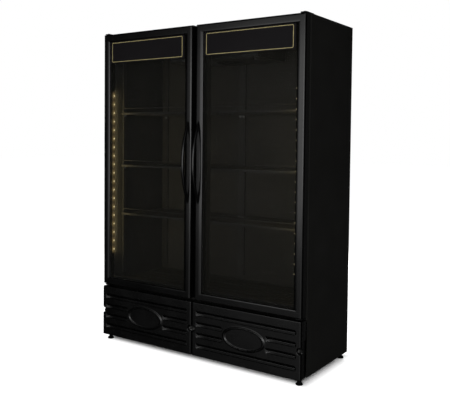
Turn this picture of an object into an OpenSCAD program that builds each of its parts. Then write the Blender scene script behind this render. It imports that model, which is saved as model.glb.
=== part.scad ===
// Upright display refrigerator with two hinged glass doors and the machine compartment below.
// Millimetres. +X right as seen from the front, +Y to the back, +Z up.
// The origin is on the floor, in the middle of the overall width and depth.

/* [Cabinet] */
// Width over the two side panels
body_w = 1450; // [1300:10:1600]
// Height of the roof over the floor
body_h = 2000; // [1850:10:2200]
// Depth from the front flange to the rear panel
cab_depth = 560; // [500:5:700]
// Thickness of a side wall with its foam
wall_t = 50; // [48:1:65]
// Thickness of the roof with its foam
roof_t = 50; // [48:1:65]
// Thickness of the rear wall with its foam
back_t = 60; // [54:1:80]
// Thickness of the insulated floor
floor_t = 43; // [38:1:50]
// Height of the underside of the insulated floor
deck_z = 345; // [330:5:380]
// Steel sheet of the outer panels
skin_t = 1.2; // [0.8:0.1:2]
// Sheet of the dark liner
liner_t = 1.6; // [1:0.1:2.5]
// Width of the front flange that the gasket meets
flange_w = 44; // [42:1:46]
// Clearance between pieces that are fitted to each other
seam = 0.2; // [0.1:0.05:0.3]
// Width of the centre mullion
mullion_w = 116; // [112:2:140]
// Depth of the centre mullion
mullion_d = 36; // [30:1:50]
// Wall of the breaker strips
trim_t = 2.4; // [1.5:0.1:3]
// Depth of the breaker strips into the cabinet
trim_d = 30; // [20:1:36]
// Height of the sill over the liner floor
sill_h = 30; // [28:1:36]

/* [Doors] */
// Thickness of a door frame, front to rear
door_t = 48; // [44:1:56]
// Space between door frame and cabinet, filled by the gasket
door_gap = 12; // [10:0.5:15]
// Height of the lower door edge
door_bottom = 373; // [370:1:376]
// Side inset of the door behind the side panel's outer face
door_inset = 3; // [1:0.5:5]
// Step of the door top below the roof
door_top_gap = 2; // [1.5:0.5:4]
// Gap between the two doors
centre_gap = 28; // [20:1:32]
// Width of the upright frame profiles
frame_w = 52; // [48:1:60]
// Width of the upper frame profile
rail_top_w = 50; // [46:1:60]
// Width of the lower frame profile
rail_bottom_w = 44; // [42:1:60]
// Depth of the glass behind the frame's front
glass_recess = 10; // [8:0.5:12]
// Bite of the upright profiles over the glass edge
glass_bite = 12; // [9:0.5:14]
// Thickness of one glass pane
pane_t = 4; // [3:0.5:5]
// Gas space between the panes
cavity_t = 8; // [6:1:10]
// Width of the spacer bar between the panes
spacer_w = 8; // [6:0.5:9]
// Radius of the frame's outer front edge
frame_edge_r = 8; // [4:0.5:12]
// Width of the slope from the frame's front to the glass
bevel_w = 14; // [10:0.5:16]
// Thickness of the profile's lip on the glass
lip_t = 2; // [1.5:0.1:3]
// Clearance in each mitre joint of the frame
mitre_gap = 0.1; // [0.05:0.05:0.2]
// Width of the magnetic gasket
gasket_w = 14; // [12:0.5:16]
// Inset of the gasket from the door edge
gasket_inset = 24; // [23:0.5:26]
// Clearance between the gasket and the cabinet
gasket_play = 0.3; // [0.2:0.05:0.5]

/* [Hinges] */
// Distance of the hinge pin from the door's outer edge
pivot_in = 20; // [16:1:22]
// Distance of the hinge pin from the door's rear face
pivot_fwd = 24; // [20:1:26]
// Radius of the hinge pins
pin_r = 5; // [4:0.5:6]
// Radial play of a pin in the door
pin_play = 0.05; // [0.02:0.01:0.1]
// Depth of the pins in the door
pin_depth = 25; // [18:1:35]
// Plate of the hinge brackets
bracket_t = 4.5; // [3:0.5:6]
// Width of the hinge brackets
bracket_w = 38; // [32:1:44]
// Length of the upper bracket on the roof
bracket_seat = 46; // [36:1:60]
// Height of the screw heads on the brackets
bracket_screw_h = 3.3; // [2:0.1:4]

/* [Handles] */
// Reach of the bow handle in front of the door
handle_reach = 68; // [50:1:90]
// Height of the bow
handle_len = 486; // [400:2:600]
// Height of the bow's middle over the floor
handle_mid = 1188; // [1050:2:1300]
// Width of the bow in its middle
handle_w = 21; // [16:0.5:26]
// Width of the bow at its feet
handle_foot_w = 15; // [12:0.5:20]
// Thickness of the bow
handle_t = 14; // [10:0.5:18]

/* [Header signs] */
// Height of a header sign plate
sign_h = 138; // [120:1:180]
// Gap between the sign plate and the frame beside and above it
sign_gap = 6; // [4:0.5:20]
// Thickness of the sign plate
sign_t = 7; // [4:0.5:8]
// Distance of the border line from the plate's edge
border_in = 7; // [5:0.5:12]
// Width of the border line
border_w = 4; // [2:0.5:6]
// Height of the border line on the plate
border_t = 0.8; // [0.4:0.1:1.5]
// Corner radius of the plate
sign_r = 8; // [6:0.5:12]

/* [Lamp strips] */
// Length of the strip beside the glass
lamp_len = 1060; // [800:10:1200]
// Height of the strip's middle
lamp_mid = 1103; // [1000:2:1150]
// Spacing of the light points
lamp_pitch = 55.7; // [40:0.1:70]
// Width of the strip
lamp_w = 12; // [10:0.5:14]
// Thickness of the strip's channel
lamp_t = 8; // [5:0.5:10]
// Radius of a light point
lamp_dot_r = 4; // [3:0.5:4.5]
// Height of a light point on the channel
lamp_dot_h = 3; // [1:0.5:4]

/* [Shelves] */
// Height of the lower shelf
shelf_z1 = 830; // [780:1:880]
// Height of the middle shelf
shelf_z2 = 1149; // [1100:1:1200]
// Height of the upper shelf
shelf_z3 = 1492; // [1430:1:1550]
// Space between the shelves of the two bays
shelf_split = 12; // [8:1:30]
// Space between a shelf and the uprights around it
shelf_play = 2; // [1:0.5:4]
// Spacing of the shelf wires
wire_pitch = 25; // [18:1:40]
// Thickness of the shelf wires
wire_t = 3.5; // [2.5:0.5:5]
// Thickness of the shelf's cross rods
rod_t = 6; // [5:0.5:8]
// Depth of the weld between wires and rods
weld_t = 1; // [0.5:0.25:1.5]
// Height of the shelf's front band
band_h = 14; // [12:1:24]
// Thickness of the shelf's front band
band_t = 3; // [2:0.5:4]
// Height of the guard rail's wire over the shelf
guard_rise = 33; // [28:1:45]
// Radius of the guard rail's wire
guard_r = 2.5; // [2:0.25:3]
// Bend radius at the guard rail's ends
guard_bend = 16; // [10:1:20]
// Inset of the guard rail's legs from the shelf's ends
guard_inset = 10; // [6:1:30]
// Height of the floor rack over the liner floor
rack_h = 16; // [14:1:24]
// Width of a shelf upright
upright_w = 25; // [20:1:30]
// Depth of a shelf upright
upright_d = 10; // [8:1:12]
// Spacing of the slots in the uprights
slot_pitch = 50; // [30:5:80]
// Height of a slot
slot_h = 14; // [8:1:20]
// Width of a slot
slot_w = 4; // [3:0.5:6]
// Distance of the front side uprights from the cabinet's front
upright_front = 85; // [70:1:120]
// Distance of the rear corner uprights from the side wall
upright_corner = 45; // [35:1:80]
// Height of a shelf clip
clip_h = 12; // [8:1:16]
// Width of a shelf clip
clip_w = 14; // [10:1:18]
// Reach of a shelf clip under the shelf
clip_reach = 16; // [12:1:22]

/* [Evaporator] */
// Width of the evaporator housing
evap_w = 640; // [560:10:760]
// Height of the evaporator housing under the ceiling
evap_h = 136; // [124:1:150]
// Distance of the housing from the cabinet's front
evap_front = 130; // [110:1:150]
// Air gap between the housing and the rear wall
evap_back_gap = 24; // [20:1:40]
// Sheet of the housing
evap_t = 1.6; // [1:0.1:3]
// Depth of the evaporator coil
evap_coil_d = 70; // [50:1:80]
// Distance of the coil behind the housing's front
evap_coil_in = 16; // [10:1:24]
// Space between the coil's end plates and the housing's ends
evap_coil_end = 40; // [30:1:60]
// Spacing of the housing's air slots
louvre_pitch = 40; // [32:1:60]
// Width of an air slot
louvre_w = 26; // [16:1:28]
// Plain strip above and below the air slots
louvre_edge = 30; // [24:1:40]
// Spacing of the evaporator fins
evap_fin_pitch = 16; // [10:1:30]
// Radius of the evaporator fan
evap_fan_r = 82; // [70:1:88]
// Radial gap around each fan
fan_gap = 6; // [4:0.5:10]
// Radius of the evaporator fan motor
evap_motor_r = 28; // [22:1:34]
// Height of the evaporator fan motor
evap_motor_h = 42; // [30:1:50]
// Radius of the thermostat dial
dial_r = 17; // [12:0.5:22]
// Height of the thermostat dial
dial_h = 14; // [8:0.5:20]
// Radius of the thermostat spindle
spindle_r = 3; // [2:0.25:4]

/* [Machine compartment] */
// Height of the feet, which is the clearance under the base frame
foot_h = 38; // [30:1:45]
// Radius of a foot at the floor
foot_r = 20; // [16:1:22]
// Radius of a foot's threaded stud
stud_r = 5; // [4:0.5:6]
// Radial play of a stud in the base frame
stud_play = 0.1; // [0.05:0.05:0.2]
// Travel of a foot when it is screwed out
foot_travel = 15; // [10:1:20]
// Height of the base frame's rails
rail_h = 30; // [25:1:40]
// Width of the base frame's rails
rail_w = 46; // [44:1:60]
// Inset of the base frame from the side panel's outer face
rail_inset = 10; // [9:0.5:14]
// Sheet of the base frame
pan_t = 2; // [1.5:0.1:3]
// Width of the uprights over the base frame
post_w = 24; // [18:1:30]
// Radius of the compressor shell
comp_r = 75; // [60:1:85]
// Height of the compressor shell
comp_h = 190; // [150:1:215]
// Distance of the compressor's middle from the cabinet's side
comp_in = 246; // [200:2:300]
// Width of the condenser coil
cond_w = 400; // [300:10:480]
// Height of the condenser coil
cond_h = 236; // [215:1:240]
// Depth of the condenser coil
cond_d = 60; // [40:1:80]
// Spacing of the condenser fins
cond_fin_pitch = 14; // [8:1:24]
// Distance of the condenser from the cabinet's side
cond_in = 202; // [190:1:220]
// Spacing of the condenser's return bends
bend_pitch = 48; // [40:1:50]
// Radius of the condenser fan
cond_fan_r = 88; // [70:1:92]
// Radius of the condenser fan motor
cond_motor_r = 34; // [26:1:40]
// Length of the condenser fan motor
cond_motor_len = 52; // [40:1:70]
// Radius of both fan shafts
shaft_r = 3; // [2:0.25:4]
// Radial play of both fan shafts
shaft_play = 0.05; // [0.02:0.01:0.1]
// Number of blades of each fan
blade_count = 5; // [3:1:8]
// Pitch angle of the blades
blade_pitch = 28; // [15:1:40]
// Outer radius of the refrigerant pipes
pipe_r = 5; // [3:0.5:6]
// Radius of the drain tube
drain_r = 8; // [6:0.5:10]
// Height of the condensate tray
tray_h = 44; // [30:1:60]
// Width of the condensate tray
tray_w = 254; // [200:2:270]
// Depth of the condensate tray
tray_d = 120; // [90:2:150]
// Distance of the condensate tray from the cabinet's middle
tray_from_mid = 58; // [40:2:80]
// Wall of the condensate tray
tray_wall = 2.5; // [1.5:0.25:4]
// Width of the control box
box_w = 130; // [100:2:160]
// Depth of the control box
box_d = 150; // [120:2:200]
// Height of the control box
box_h = 150; // [110:2:200]
// Wall of the control box
box_wall = 2; // [1.5:0.1:3]
// Radius of the hole through the cable gland
gland_bore_r = 4.5; // [3:0.25:6]
// Radius of the cable gland's nut
gland_r = 13; // [10:0.5:16]
// Length of the cable gland inside the rear grille
gland_len = 24; // [16:1:40]
// Length of the gland's nut
gland_nut = 8; // [5:0.5:12]
// Distance of the cable gland from the cabinet's side
gland_in = 120; // [90:2:160]
// Height of the cable gland over the base frame
gland_up = 60; // [40:2:90]
// Spacing of the columns of vent slots in the rear grille
vent_column = 190; // [170:2:200]
// Spacing of the rows of vent slots
vent_row = 18; // [14:1:30]
// Length of a vent slot
vent_len = 140; // [100:2:150]
// Height of a vent slot
vent_h = 7; // [4:0.5:9]

/* [Kick panels] */
// Height of the kick panel's upper edge
kick_top = 357; // [350:1:359]
// Step of the kick panel in front of the doors
kick_proud = 4; // [0:0.5:8]
// Gap between the two kick panels
kick_gap = 6; // [3:0.5:12]
// Wall of the moulded kick panel
kick_wall = 3; // [2:0.25:4]
// Radius of the kick panel's outer front corners
kick_r = 9; // [6:0.5:12]
// Spacing of the four grooves
groove_pitch = 65; // [58:1:66]
// Height of a groove
groove_h = 26; // [20:1:32]
// Depth of a groove at its upper edge
groove_d = 13; // [8:0.5:18]
// Distance of the uppermost groove from the panel's top
groove_top = 49; // [44:1:56]
// Distance of the grooves from the panel's ends
groove_end = 30; // [28:1:60]
// Width of the oval badge base
badge_w = 262; // [200:2:300]
// Height of the oval badge base
badge_h = 128; // [100:2:140]
// Height of the badge base on the panel
badge_t = 4; // [2:0.5:6]
// Width of the ring on the badge base
ring_w = 11; // [6:0.5:16]
// Width of the low step around the ring
badge_step = 7; // [4:0.5:10]
// Space between the badge base and the short grooves
badge_space = 12; // [8:1:30]
// Height of the line where the side return steps in
step_z = 250; // [200:1:280]
// Depth of that step
step_d = 3; // [2:0.5:5]
// Height of the screw cups over the floor
cup_z = 197; // [180:1:215]
// Distance of a screw cup from the panel's end
cup_in = 15; // [13.5:0.5:18]
// Radius of a screw cup
cup_r = 10; // [8:0.5:11]
// Depth of a screw cup
cup_d = 8; // [5:0.5:10]
// Radius of a kick panel screw's head
screw_r = 5.5; // [4:0.25:7]
// Radius of that screw's shank
shank_r = 2.4; // [2:0.1:2.6]
// Length of that screw in the base frame
screw_bite = 9; // [5:0.5:12]

/* [Hidden] */
$fn = 48;
// A cut reaches this far past the surface that it opens
past = 1;

// Planes along the depth
total_d = handle_reach + door_t + door_gap + cab_depth;
y_back = total_d / 2;
y_face = y_back - cab_depth;
y_door_rear = y_face - door_gap;
y_door = y_door_rear - door_t;
y_liner = y_back - back_t;
// Planes along the width
x_side = body_w / 2;
x_liner = x_side - wall_t;
x_flange = x_side - flange_w;
x_door_out = x_side - door_inset;
x_door_in = centre_gap / 2;
// Planes along the height
z_floor = deck_z + floor_t;
z_ceiling = body_h - roof_t;
z_sill = z_floor + sill_h;
z_roof_flange = body_h - flange_w;
z_door_top = body_h - door_top_gap;
z_pan = foot_h + rail_h;

// Door glass: a profile's bite shrinks with its width so that the mitres meet
y_glass = y_door + glass_recess;
glass_t = 2 * pane_t + cavity_t;
y_glass_rear = y_glass + glass_t;
x_pane_out = x_door_out - frame_w + glass_bite - seam;
x_pane_in = x_door_in + frame_w - glass_bite + seam;
z_pane_0 = door_bottom + rail_bottom_w * (1 - glass_bite / frame_w) + seam;
z_pane_1 = z_door_top - rail_top_w * (1 - glass_bite / frame_w) - seam;
// Step from the profile's lip back to its rear part, where the lamp strip sits
rear_step = 2;

// Hinge axis
pivot_x = x_door_out - pivot_in;
pivot_y = y_door_rear - pivot_fwd;
collar_r = 1.8 * pin_r;
collar_gap = 0.3;
z_bottom_plate = (door_bottom + kick_top) / 2 - bracket_t / 2 + 1;

// Shelves
y_mullion = y_face + mullion_d;
y_shelf_0 = y_mullion + upright_d + seam + shelf_play;
y_shelf_1 = y_liner - upright_d - seam - shelf_play;
x_shelf_0 = shelf_split / 2;
x_shelf_1 = x_liner - upright_d - seam - shelf_play;
shelf_drop = wire_t + rod_t - weld_t;
z_upright_0 = z_sill + 12;
z_upright_1 = z_ceiling - 12;
mullion_upright_x = mullion_w / 2 - upright_w / 2 - 4;
shelf_levels = [shelf_z1, shelf_z2, shelf_z3];

// Evaporator housing
y_evap_0 = y_face + evap_front;
y_evap_1 = y_liner - evap_back_gap;
z_evap = z_ceiling - evap_h;
y_evap_coil = y_evap_0 + evap_coil_in;
evap_fan_y = (y_evap_coil + evap_coil_d + y_evap_1) / 2;
fan_hub_r = 20;
evap_hub_h = 24;
z_evap_fan = z_evap + evap_t + 4;
z_evap_motor = z_evap_fan + evap_hub_h + 8;
dial_x = evap_w / 2 - dial_r - 2;
dial_y = y_evap_0 + dial_r + 12;

// Machine compartment
x_rail = x_side - rail_inset;
// The frame's front rail stands clear of the kick panels' grooves
y_frame_0 = y_door - kick_proud + groove_d + kick_wall + 2;
foot_x = x_rail - rail_w / 2;
foot_front_y = y_frame_0 + rail_w / 2 + 6;
foot_rear_y = y_back - rail_w / 2 - 2;
comp_x = -x_side + comp_in;
comp_y = (y_face + y_back) / 2 + 40;
cond_x = x_side - cond_in - cond_w;
cond_y = y_face + 18;
cond_mid_x = cond_x + cond_w / 2;
cond_mid_z = z_pan + seam + cond_h / 2;
shroud_y = cond_y + cond_d + seam;
shroud_t = 1.6;
shroud_lip = 22;
cond_fan_y = shroud_y + 3;
cond_hub_h = 26;
cond_motor_y = cond_fan_y + cond_hub_h + 8;
// Height of the liquid line over the pan, under the condenser's lowest return bend
liquid_up = 20;
tray_x1 = -tray_from_mid;
tray_x0 = tray_x1 - tray_w;
tray_y1 = y_back - 18;
tray_y0 = tray_y1 - tray_d;
// The lines run up through a duct in the foam of the rear wall
duct_y = y_liner + back_t / 2;
duct_r = 22;
suction_x = (tray_x0 + tray_x1) / 2 + 40;
liquid_x = suction_x - 20;
drain_x = tray_x0 + 55;
// Radial clearance of the lines in the housing that carries them
line_play = 0.3;
gland_x = x_side - gland_in;
gland_z = z_pan + gland_up;

// Kick panels
y_kick = y_door - kick_proud;
x_kick_in = kick_gap / 2;
x_kick_out = x_door_out;
kick_mid_x = (x_kick_in + x_kick_out) / 2;
z_groove_top = kick_top - groove_top;
cup_floor_y = y_kick + cup_d;
// Screw holes at both ends of the right kick panel
screw_xs = [x_kick_in + cup_in, x_kick_out - cup_in];
kick_seat = 0.3;
post_d = 14;
// The panels end this far in front of the cabinet's face, and their tops further
kick_end = 1;
kick_top_end = 7;
// Depth of a groove at its lower edge
groove_low = 3;
// Height of the bevel along the upper front edge
kick_bevel = 2;
// Distance from the panel's front to the step in its side
step_y = y_kick + kick_r + 12;
badge_z = z_groove_top - 1.5 * groove_pitch - groove_h / 2;

// A block between two opposite corners
module block(x0, x1, y0, y1, z0, z1)
  translate([x0, y0, z0]) cube([x1 - x0, y1 - y0, z1 - z0]);

// The same shape on the left and on the right
module both_sides() {
  children();
  mirror([1, 0, 0]) children();
}

// A cylinder along Y that starts at y0
module rod_y(x, y0, z, r, len) translate([x, y0, z]) rotate([-90, 0, 0]) cylinder(r = r, h = len);

// A rectangle with true round corners, centred
module round_rect(w, h, r) {
  square([w - 2 * r, h], center = true);
  square([w, h - 2 * r], center = true);
  for (sx = [-1, 1], sz = [-1, 1]) translate([sx * (w / 2 - r), sz * (h / 2 - r)]) circle(r);
}

// An upright plate that faces the front: its outline lies in X and Z
module upright_plate(x, y, z, t) translate([x, y + t, z]) rotate([90, 0, 0]) linear_extrude(t) children();

// Outer sheet of the right side, folded to a flange at the front
module side_panel() {
  block(x_side - skin_t, x_side, y_face, y_back, foot_h, body_h);
  block(x_flange, x_side, y_face, y_face + skin_t, deck_z, body_h);
}

module left_side_panel() color("#151514") mirror([1, 0, 0]) side_panel();
module right_side_panel() color("#151514") side_panel();

module roof_panel() color("#151514") {
  x = x_side - skin_t - seam;
  block(-x, x, y_face + skin_t + seam, y_back, body_h - skin_t, body_h);
  block(-x_flange + seam, x_flange - seam, y_face, y_face + skin_t, z_roof_flange, body_h);
  block(-x_flange + seam, x_flange - seam, y_face, y_face + 2 * skin_t + seam, body_h - skin_t, body_h);
}

module rear_panel() color("#1a1a19") {
  x = x_side - skin_t - seam;
  block(-x, x, y_back - skin_t, y_back, deck_z, body_h - skin_t - seam);
}

// Lower skin of the insulated floor, folded up at the front
module deck_panel() color("#1a1a19") {
  x = x_side - skin_t - seam;
  difference() {
    union() {
      block(-x, x, y_face + skin_t + seam, y_back - skin_t - seam, deck_z, deck_z + skin_t);
      block(-x_flange + seam, x_flange - seam, y_face, y_face + skin_t, deck_z, z_sill - 2 * trim_t);
      block(-x_flange + seam, x_flange - seam, y_face, y_face + 2 * skin_t + seam, deck_z, deck_z + skin_t);
    }
    duct_cuts(deck_z - past, deck_z + skin_t + past);
  }
}

// Round ducts for the lines and for the drain tube in the rear wall
module duct_cuts(z0, z1) {
  for (x = [(suction_x + liquid_x) / 2, drain_x])
    translate([x, duct_y, z0]) cylinder(r = duct_r, h = z1 - z0);
}

// Holes where the lines and the drain tube enter the cold space
module wall_holes(y0, y1) {
  rod_y(suction_x, y0, z_suction, 1.6 * pipe_r, y1 - y0);
  rod_y(liquid_x, y0, z_liquid, 1.6 * pipe_r, y1 - y0);
  rod_y(drain_x, y0, z_drain, drain_r + 2, y1 - y0);
}
z_suction = z_ceiling - 22;
z_liquid = z_ceiling - 44;
z_drain = z_evap + evap_t + drain_r + 3;

module foam_insulation() color("#d8cfa0") {
  x = x_side - skin_t - seam;
  inner_x = x_liner + liner_t + seam;
  difference() {
    block(-x, x, y_face + skin_t + seam, y_back - skin_t - seam,
      deck_z + skin_t + seam, body_h - skin_t - seam);
    block(-inner_x, inner_x, y_face - past, y_liner + liner_t + seam,
      z_floor - liner_t - seam, z_ceiling + liner_t + seam);
    duct_cuts(deck_z - past, z_ceiling + 10);
    wall_holes(y_liner - past, duct_y);
  }
  block(-mullion_w / 2 + skin_t + seam, mullion_w / 2 - skin_t - seam,
    y_face + skin_t + seam, y_mullion - skin_t - seam, z_sill + seam, z_ceiling - trim_t - 2 * seam);
}

module liner_panels() color("#1c1c1b") {
  y0 = y_face + skin_t + seam;
  z0 = z_floor - liner_t;
  z1 = z_ceiling + liner_t;
  both_sides() block(x_liner, x_liner + liner_t, y0, y_liner + liner_t, z0, z1);
  difference() {
    block(-x_liner + seam, x_liner - seam, y_liner, y_liner + liner_t, z0, z1);
    wall_holes(y_liner - past, y_liner + liner_t + past);
  }
  block(-x_liner + seam, x_liner - seam, y0, y_liner - seam, z_ceiling, z1);
  block(-x_liner + seam, x_liner - seam, y0, y_liner - seam, z0, z_floor);
}

// Plastic strips around the mouth of the cold space: each laps the flange's edge and the liner
module breaker_strips() color("#101010") {
  z0 = z_sill + seam;
  z1 = z_ceiling - seam;
  both_sides() {
    block(x_liner - trim_t - seam, x_flange - seam, y_face, y_face + skin_t, z0, z1);
    block(x_liner - trim_t - seam, x_liner - seam, y_face, y_face + trim_d, z0, z1);
  }
  x_top = x_liner - trim_t - 2 * seam;
  block(-x_flange + seam, x_flange - seam, y_face, y_face + skin_t, z_ceiling, z_roof_flange - seam);
  block(-x_top, x_top, y_face, y_face + skin_t, z_ceiling - trim_t - seam, z_roof_flange - seam);
  block(-x_top, x_top, y_face, y_face + trim_d, z_ceiling - trim_t - seam, z_ceiling - seam);
  difference() {
    block(-x_flange + seam, x_flange - seam, y_face, y_face + trim_d, z_floor + seam, z_sill);
    block(-x_side, x_side, y_face - past, y_face + trim_d - trim_t, z_floor - past, z_sill - trim_t);
    both_sides()
      block(x_liner - seam, x_side, y_face + skin_t + seam / 2, y_back, z_floor - past, z_sill + past);
  }
}

// Steel box post between the two bays, filled with foam
module centre_mullion() color("#161615") {
  z0 = z_sill + seam;
  z1 = z_ceiling - trim_t - 2 * seam;
  difference() {
    block(-mullion_w / 2, mullion_w / 2, y_face, y_mullion, z0, z1);
    block(-mullion_w / 2 + skin_t, mullion_w / 2 - skin_t,
      y_face + skin_t, y_mullion - skin_t, z0 - past, z1 + past);
  }
}

// One slotted upright. It faces +Y at y = 0 and is as deep as upright_d
module slotted_upright(w, columns) {
  count = floor((z_upright_1 - z_upright_0 - slot_h) / slot_pitch);
  difference() {
    block(-w / 2, w / 2, 0, upright_d, z_upright_0, z_upright_1);
    block(-w / 2 + skin_t, w / 2 - skin_t, -past, upright_d - skin_t, z_upright_0 - past, z_upright_1 + past);
    for (i = [1 : count], c = columns)
      translate([c - slot_w / 2, upright_d - skin_t - past, z_upright_0 + i * slot_pitch])
        cube([slot_w, skin_t + 2 * past, slot_h]);
  }
}

module shelf_uprights() color("#2b2b2a") {
  rear = y_liner - seam;
  translate([0, rear, 0]) mirror([0, 1, 0]) slotted_upright(2 * upright_w, [-upright_w / 2, upright_w / 2]);
  both_sides() {
    translate([x_liner - upright_corner, rear, 0]) mirror([0, 1, 0]) slotted_upright(upright_w, [0]);
    translate([x_liner - seam, y_face + upright_front, 0]) rotate([0, 0, 90]) slotted_upright(upright_w, [0]);
    translate([mullion_upright_x, y_mullion + seam, 0]) slotted_upright(upright_w, [0]);
  }
}

// A clip hooks into an upright at y = 0 and carries the shelf on its upper face
module shelf_clip(z) {
  z_top = z - shelf_drop - seam;
  block(-clip_w / 2, clip_w / 2, seam, clip_reach, z_top - 3, z_top);
  block(-clip_w / 2, clip_w / 2, seam, 3, z_top - clip_h, z_top);
}

module shelf_clips() color("#9a9a98")
  for (z = shelf_levels) both_sides() {
    translate([upright_w / 2, y_liner - upright_d - seam, 0]) mirror([0, 1, 0]) shelf_clip(z);
    translate([x_liner - upright_corner, y_liner - upright_d - seam, 0]) mirror([0, 1, 0]) shelf_clip(z);
    translate([x_liner - upright_d - seam, y_face + upright_front, 0]) rotate([0, 0, 90]) shelf_clip(z);
    translate([mullion_upright_x, y_mullion + upright_d + seam, 0]) shelf_clip(z);
  }

// Wires that run front to back on four cross rods, all welded together
module wire_deck(x0, x1, y0, y1, z) {
  count = floor((x1 - x0 - wire_t) / wire_pitch);
  step = (x1 - x0 - wire_t) / count;
  for (i = [0 : count]) translate([x0 + i * step, y0, z - wire_t]) cube([wire_t, y1 - y0, wire_t]);
  for (k = [0 : 3])
    translate([x0, y0 + k * (y1 - y0 - rod_t) / 3, z - shelf_drop]) cube([x1 - x0, rod_t, rod_t]);
}

// A shelf of the right bay: the deck and the flat band in front
module wire_shelf(z) {
  wire_deck(x_shelf_0, x_shelf_1, y_shelf_0 + band_t - weld_t, y_shelf_1, z);
  block(x_shelf_0, x_shelf_1, y_shelf_0, y_shelf_0 + band_t, z - shelf_drop, z - shelf_drop + band_h);
}

module left_upper_shelf() color("#8f8f8d") mirror([1, 0, 0]) wire_shelf(shelf_z3);
module left_middle_shelf() color("#8f8f8d") mirror([1, 0, 0]) wire_shelf(shelf_z2);
module left_lower_shelf() color("#8f8f8d") mirror([1, 0, 0]) wire_shelf(shelf_z1);
module right_upper_shelf() color("#8f8f8d") wire_shelf(shelf_z3);
module right_middle_shelf() color("#8f8f8d") wire_shelf(shelf_z2);
module right_lower_shelf() color("#8f8f8d") wire_shelf(shelf_z1);

// A quarter of a wire ring from the +X side to the +Y side of the plane
module wire_bend(bend, r) rotate_extrude(angle = 90) translate([bend, 0]) circle(r);

// Guard rail wire: it rises from the shelf's band and turns over both ends
module guard_rail(z) {
  x0 = x_shelf_0 + guard_inset;
  x1 = x_shelf_1 - guard_inset;
  z_foot = z - shelf_drop + band_h + seam;
  z_bend = z + guard_rise - guard_bend;
  y = y_shelf_0 + guard_r;
  translate([x0 + guard_bend, y, z + guard_rise]) rotate([0, 90, 0])
    cylinder(r = guard_r, h = x1 - x0 - 2 * guard_bend);
  for (x = [x0, x1]) translate([x, y, z_foot]) cylinder(r = guard_r, h = z_bend - z_foot);
  translate([x1 - guard_bend, y, z_bend]) rotate([90, 0, 0]) wire_bend(guard_bend, guard_r);
  translate([x0 + guard_bend, y, z_bend]) mirror([1, 0, 0]) rotate([90, 0, 0]) wire_bend(guard_bend, guard_r);
}

module shelf_guards() color("#9c9c9a") for (z = shelf_levels) both_sides() guard_rail(z);

// The lowest rack stands on short legs on the liner floor
module floor_rack() {
  y0 = y_face + trim_d + shelf_play;
  z = z_floor + rack_h;
  leg_h = rack_h - shelf_drop - seam;
  wire_deck(x_shelf_0, x_shelf_1, y0, y_shelf_1, z);
  for (x = [x_shelf_0, x_shelf_1 - rod_t], y = [y0, y_shelf_1 - rod_t])
    translate([x, y, z_floor + seam]) cube([rod_t, rod_t, leg_h + weld_t]);
}

module left_floor_rack() color("#8f8f8d") mirror([1, 0, 0]) floor_rack();
module right_floor_rack() color("#8f8f8d") floor_rack();

// Finned block: flat fins on a thinner core, w wide along X, d deep along Y
module fin_block(w, d, h, pitch) {
  core = 0.5 * d;
  count = floor(w / pitch);
  step = (w - 1) / count;
  linear_extrude(h) {
    translate([0, (d - core) / 2]) square([w, core]);
    for (i = [0 : count]) translate([i * step, 0]) square([1, d]);
  }
}

// Housing that hangs under the ceiling, open at its top
module evaporator_cover() color("#3a3b3b") {
  x = evap_w / 2;
  louvre_n = floor((evap_w - 2 * louvre_edge) / louvre_pitch);
  difference() {
    block(-x, x, y_evap_0, y_evap_1, z_evap, z_ceiling - seam);
    block(-x + evap_t, x - evap_t, y_evap_0 + evap_t, y_evap_1 - evap_t, z_evap + evap_t, z_ceiling + past);
    for (i = [0 : louvre_n])
      translate([(i - louvre_n / 2) * louvre_pitch - louvre_w / 2, y_evap_0 - past, z_evap + louvre_edge])
        cube([louvre_w, evap_t + 2 * past, evap_h - 2 * louvre_edge]);
    translate([0, evap_fan_y, z_evap - past]) cylinder(r = evap_fan_r + fan_gap, h = evap_t + 2 * past);
    translate([dial_x, dial_y, z_evap - past]) cylinder(r = spindle_r + shaft_play, h = evap_t + 2 * past);
    for (p = [[suction_x, z_suction, pipe_r], [liquid_x, z_liquid, pipe_r], [drain_x, z_drain, drain_r]])
      rod_y(p[0], y_evap_1 - evap_t - past, p[1], p[2] + line_play, evap_t + 2 * past);
  }
}

module evaporator_coil() color("#b9bcbd") {
  w = evap_w - 2 * evap_coil_end;
  h = evap_h - 34;
  z = z_evap + evap_t + seam;
  translate([-w / 2, y_evap_coil, z + 8]) fin_block(w, evap_coil_d, h - 8, evap_fin_pitch);
  for (sx = [-1, 1]) block(sx * w / 2 - 1, sx * w / 2 + 1, y_evap_coil, y_evap_coil + evap_coil_d, z, z + h);
}

// Blades on a hub with its shaft, along +Z from the hub's base
module fan_wheel(r, hub_h, shaft_len) {
  cylinder(r = fan_hub_r, h = hub_h);
  translate([0, 0, hub_h]) cylinder(r = shaft_r, h = shaft_len);
  intersection() {
    cylinder(r = r, h = hub_h);
    for (i = [0 : blade_count - 1]) rotate([0, 0, i * 360 / blade_count])
      translate([fan_hub_r - 2, 0, hub_h / 2]) rotate([blade_pitch, 0, 0])
        translate([0, -0.24 * r, -1]) cube([r, 0.48 * r, 2]);
  }
}

// Motor with a bore for the shaft, on a strap whose two legs reach the plate
module fan_motor(motor_r, motor_h, strap_w, leg_h) {
  difference() {
    union() {
      cylinder(r = motor_r, h = motor_h);
      translate([-strap_w / 2, -12, 0]) cube([strap_w, 24, 2]);
      for (sx = [-1, 1]) translate([sx * (strap_w / 2 - 1) - 1, -12, -leg_h]) cube([2, 24, leg_h + 1]);
    }
    translate([0, 0, -past]) cylinder(r = shaft_r + shaft_play, h = 0.6 * motor_h + past);
  }
}

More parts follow.
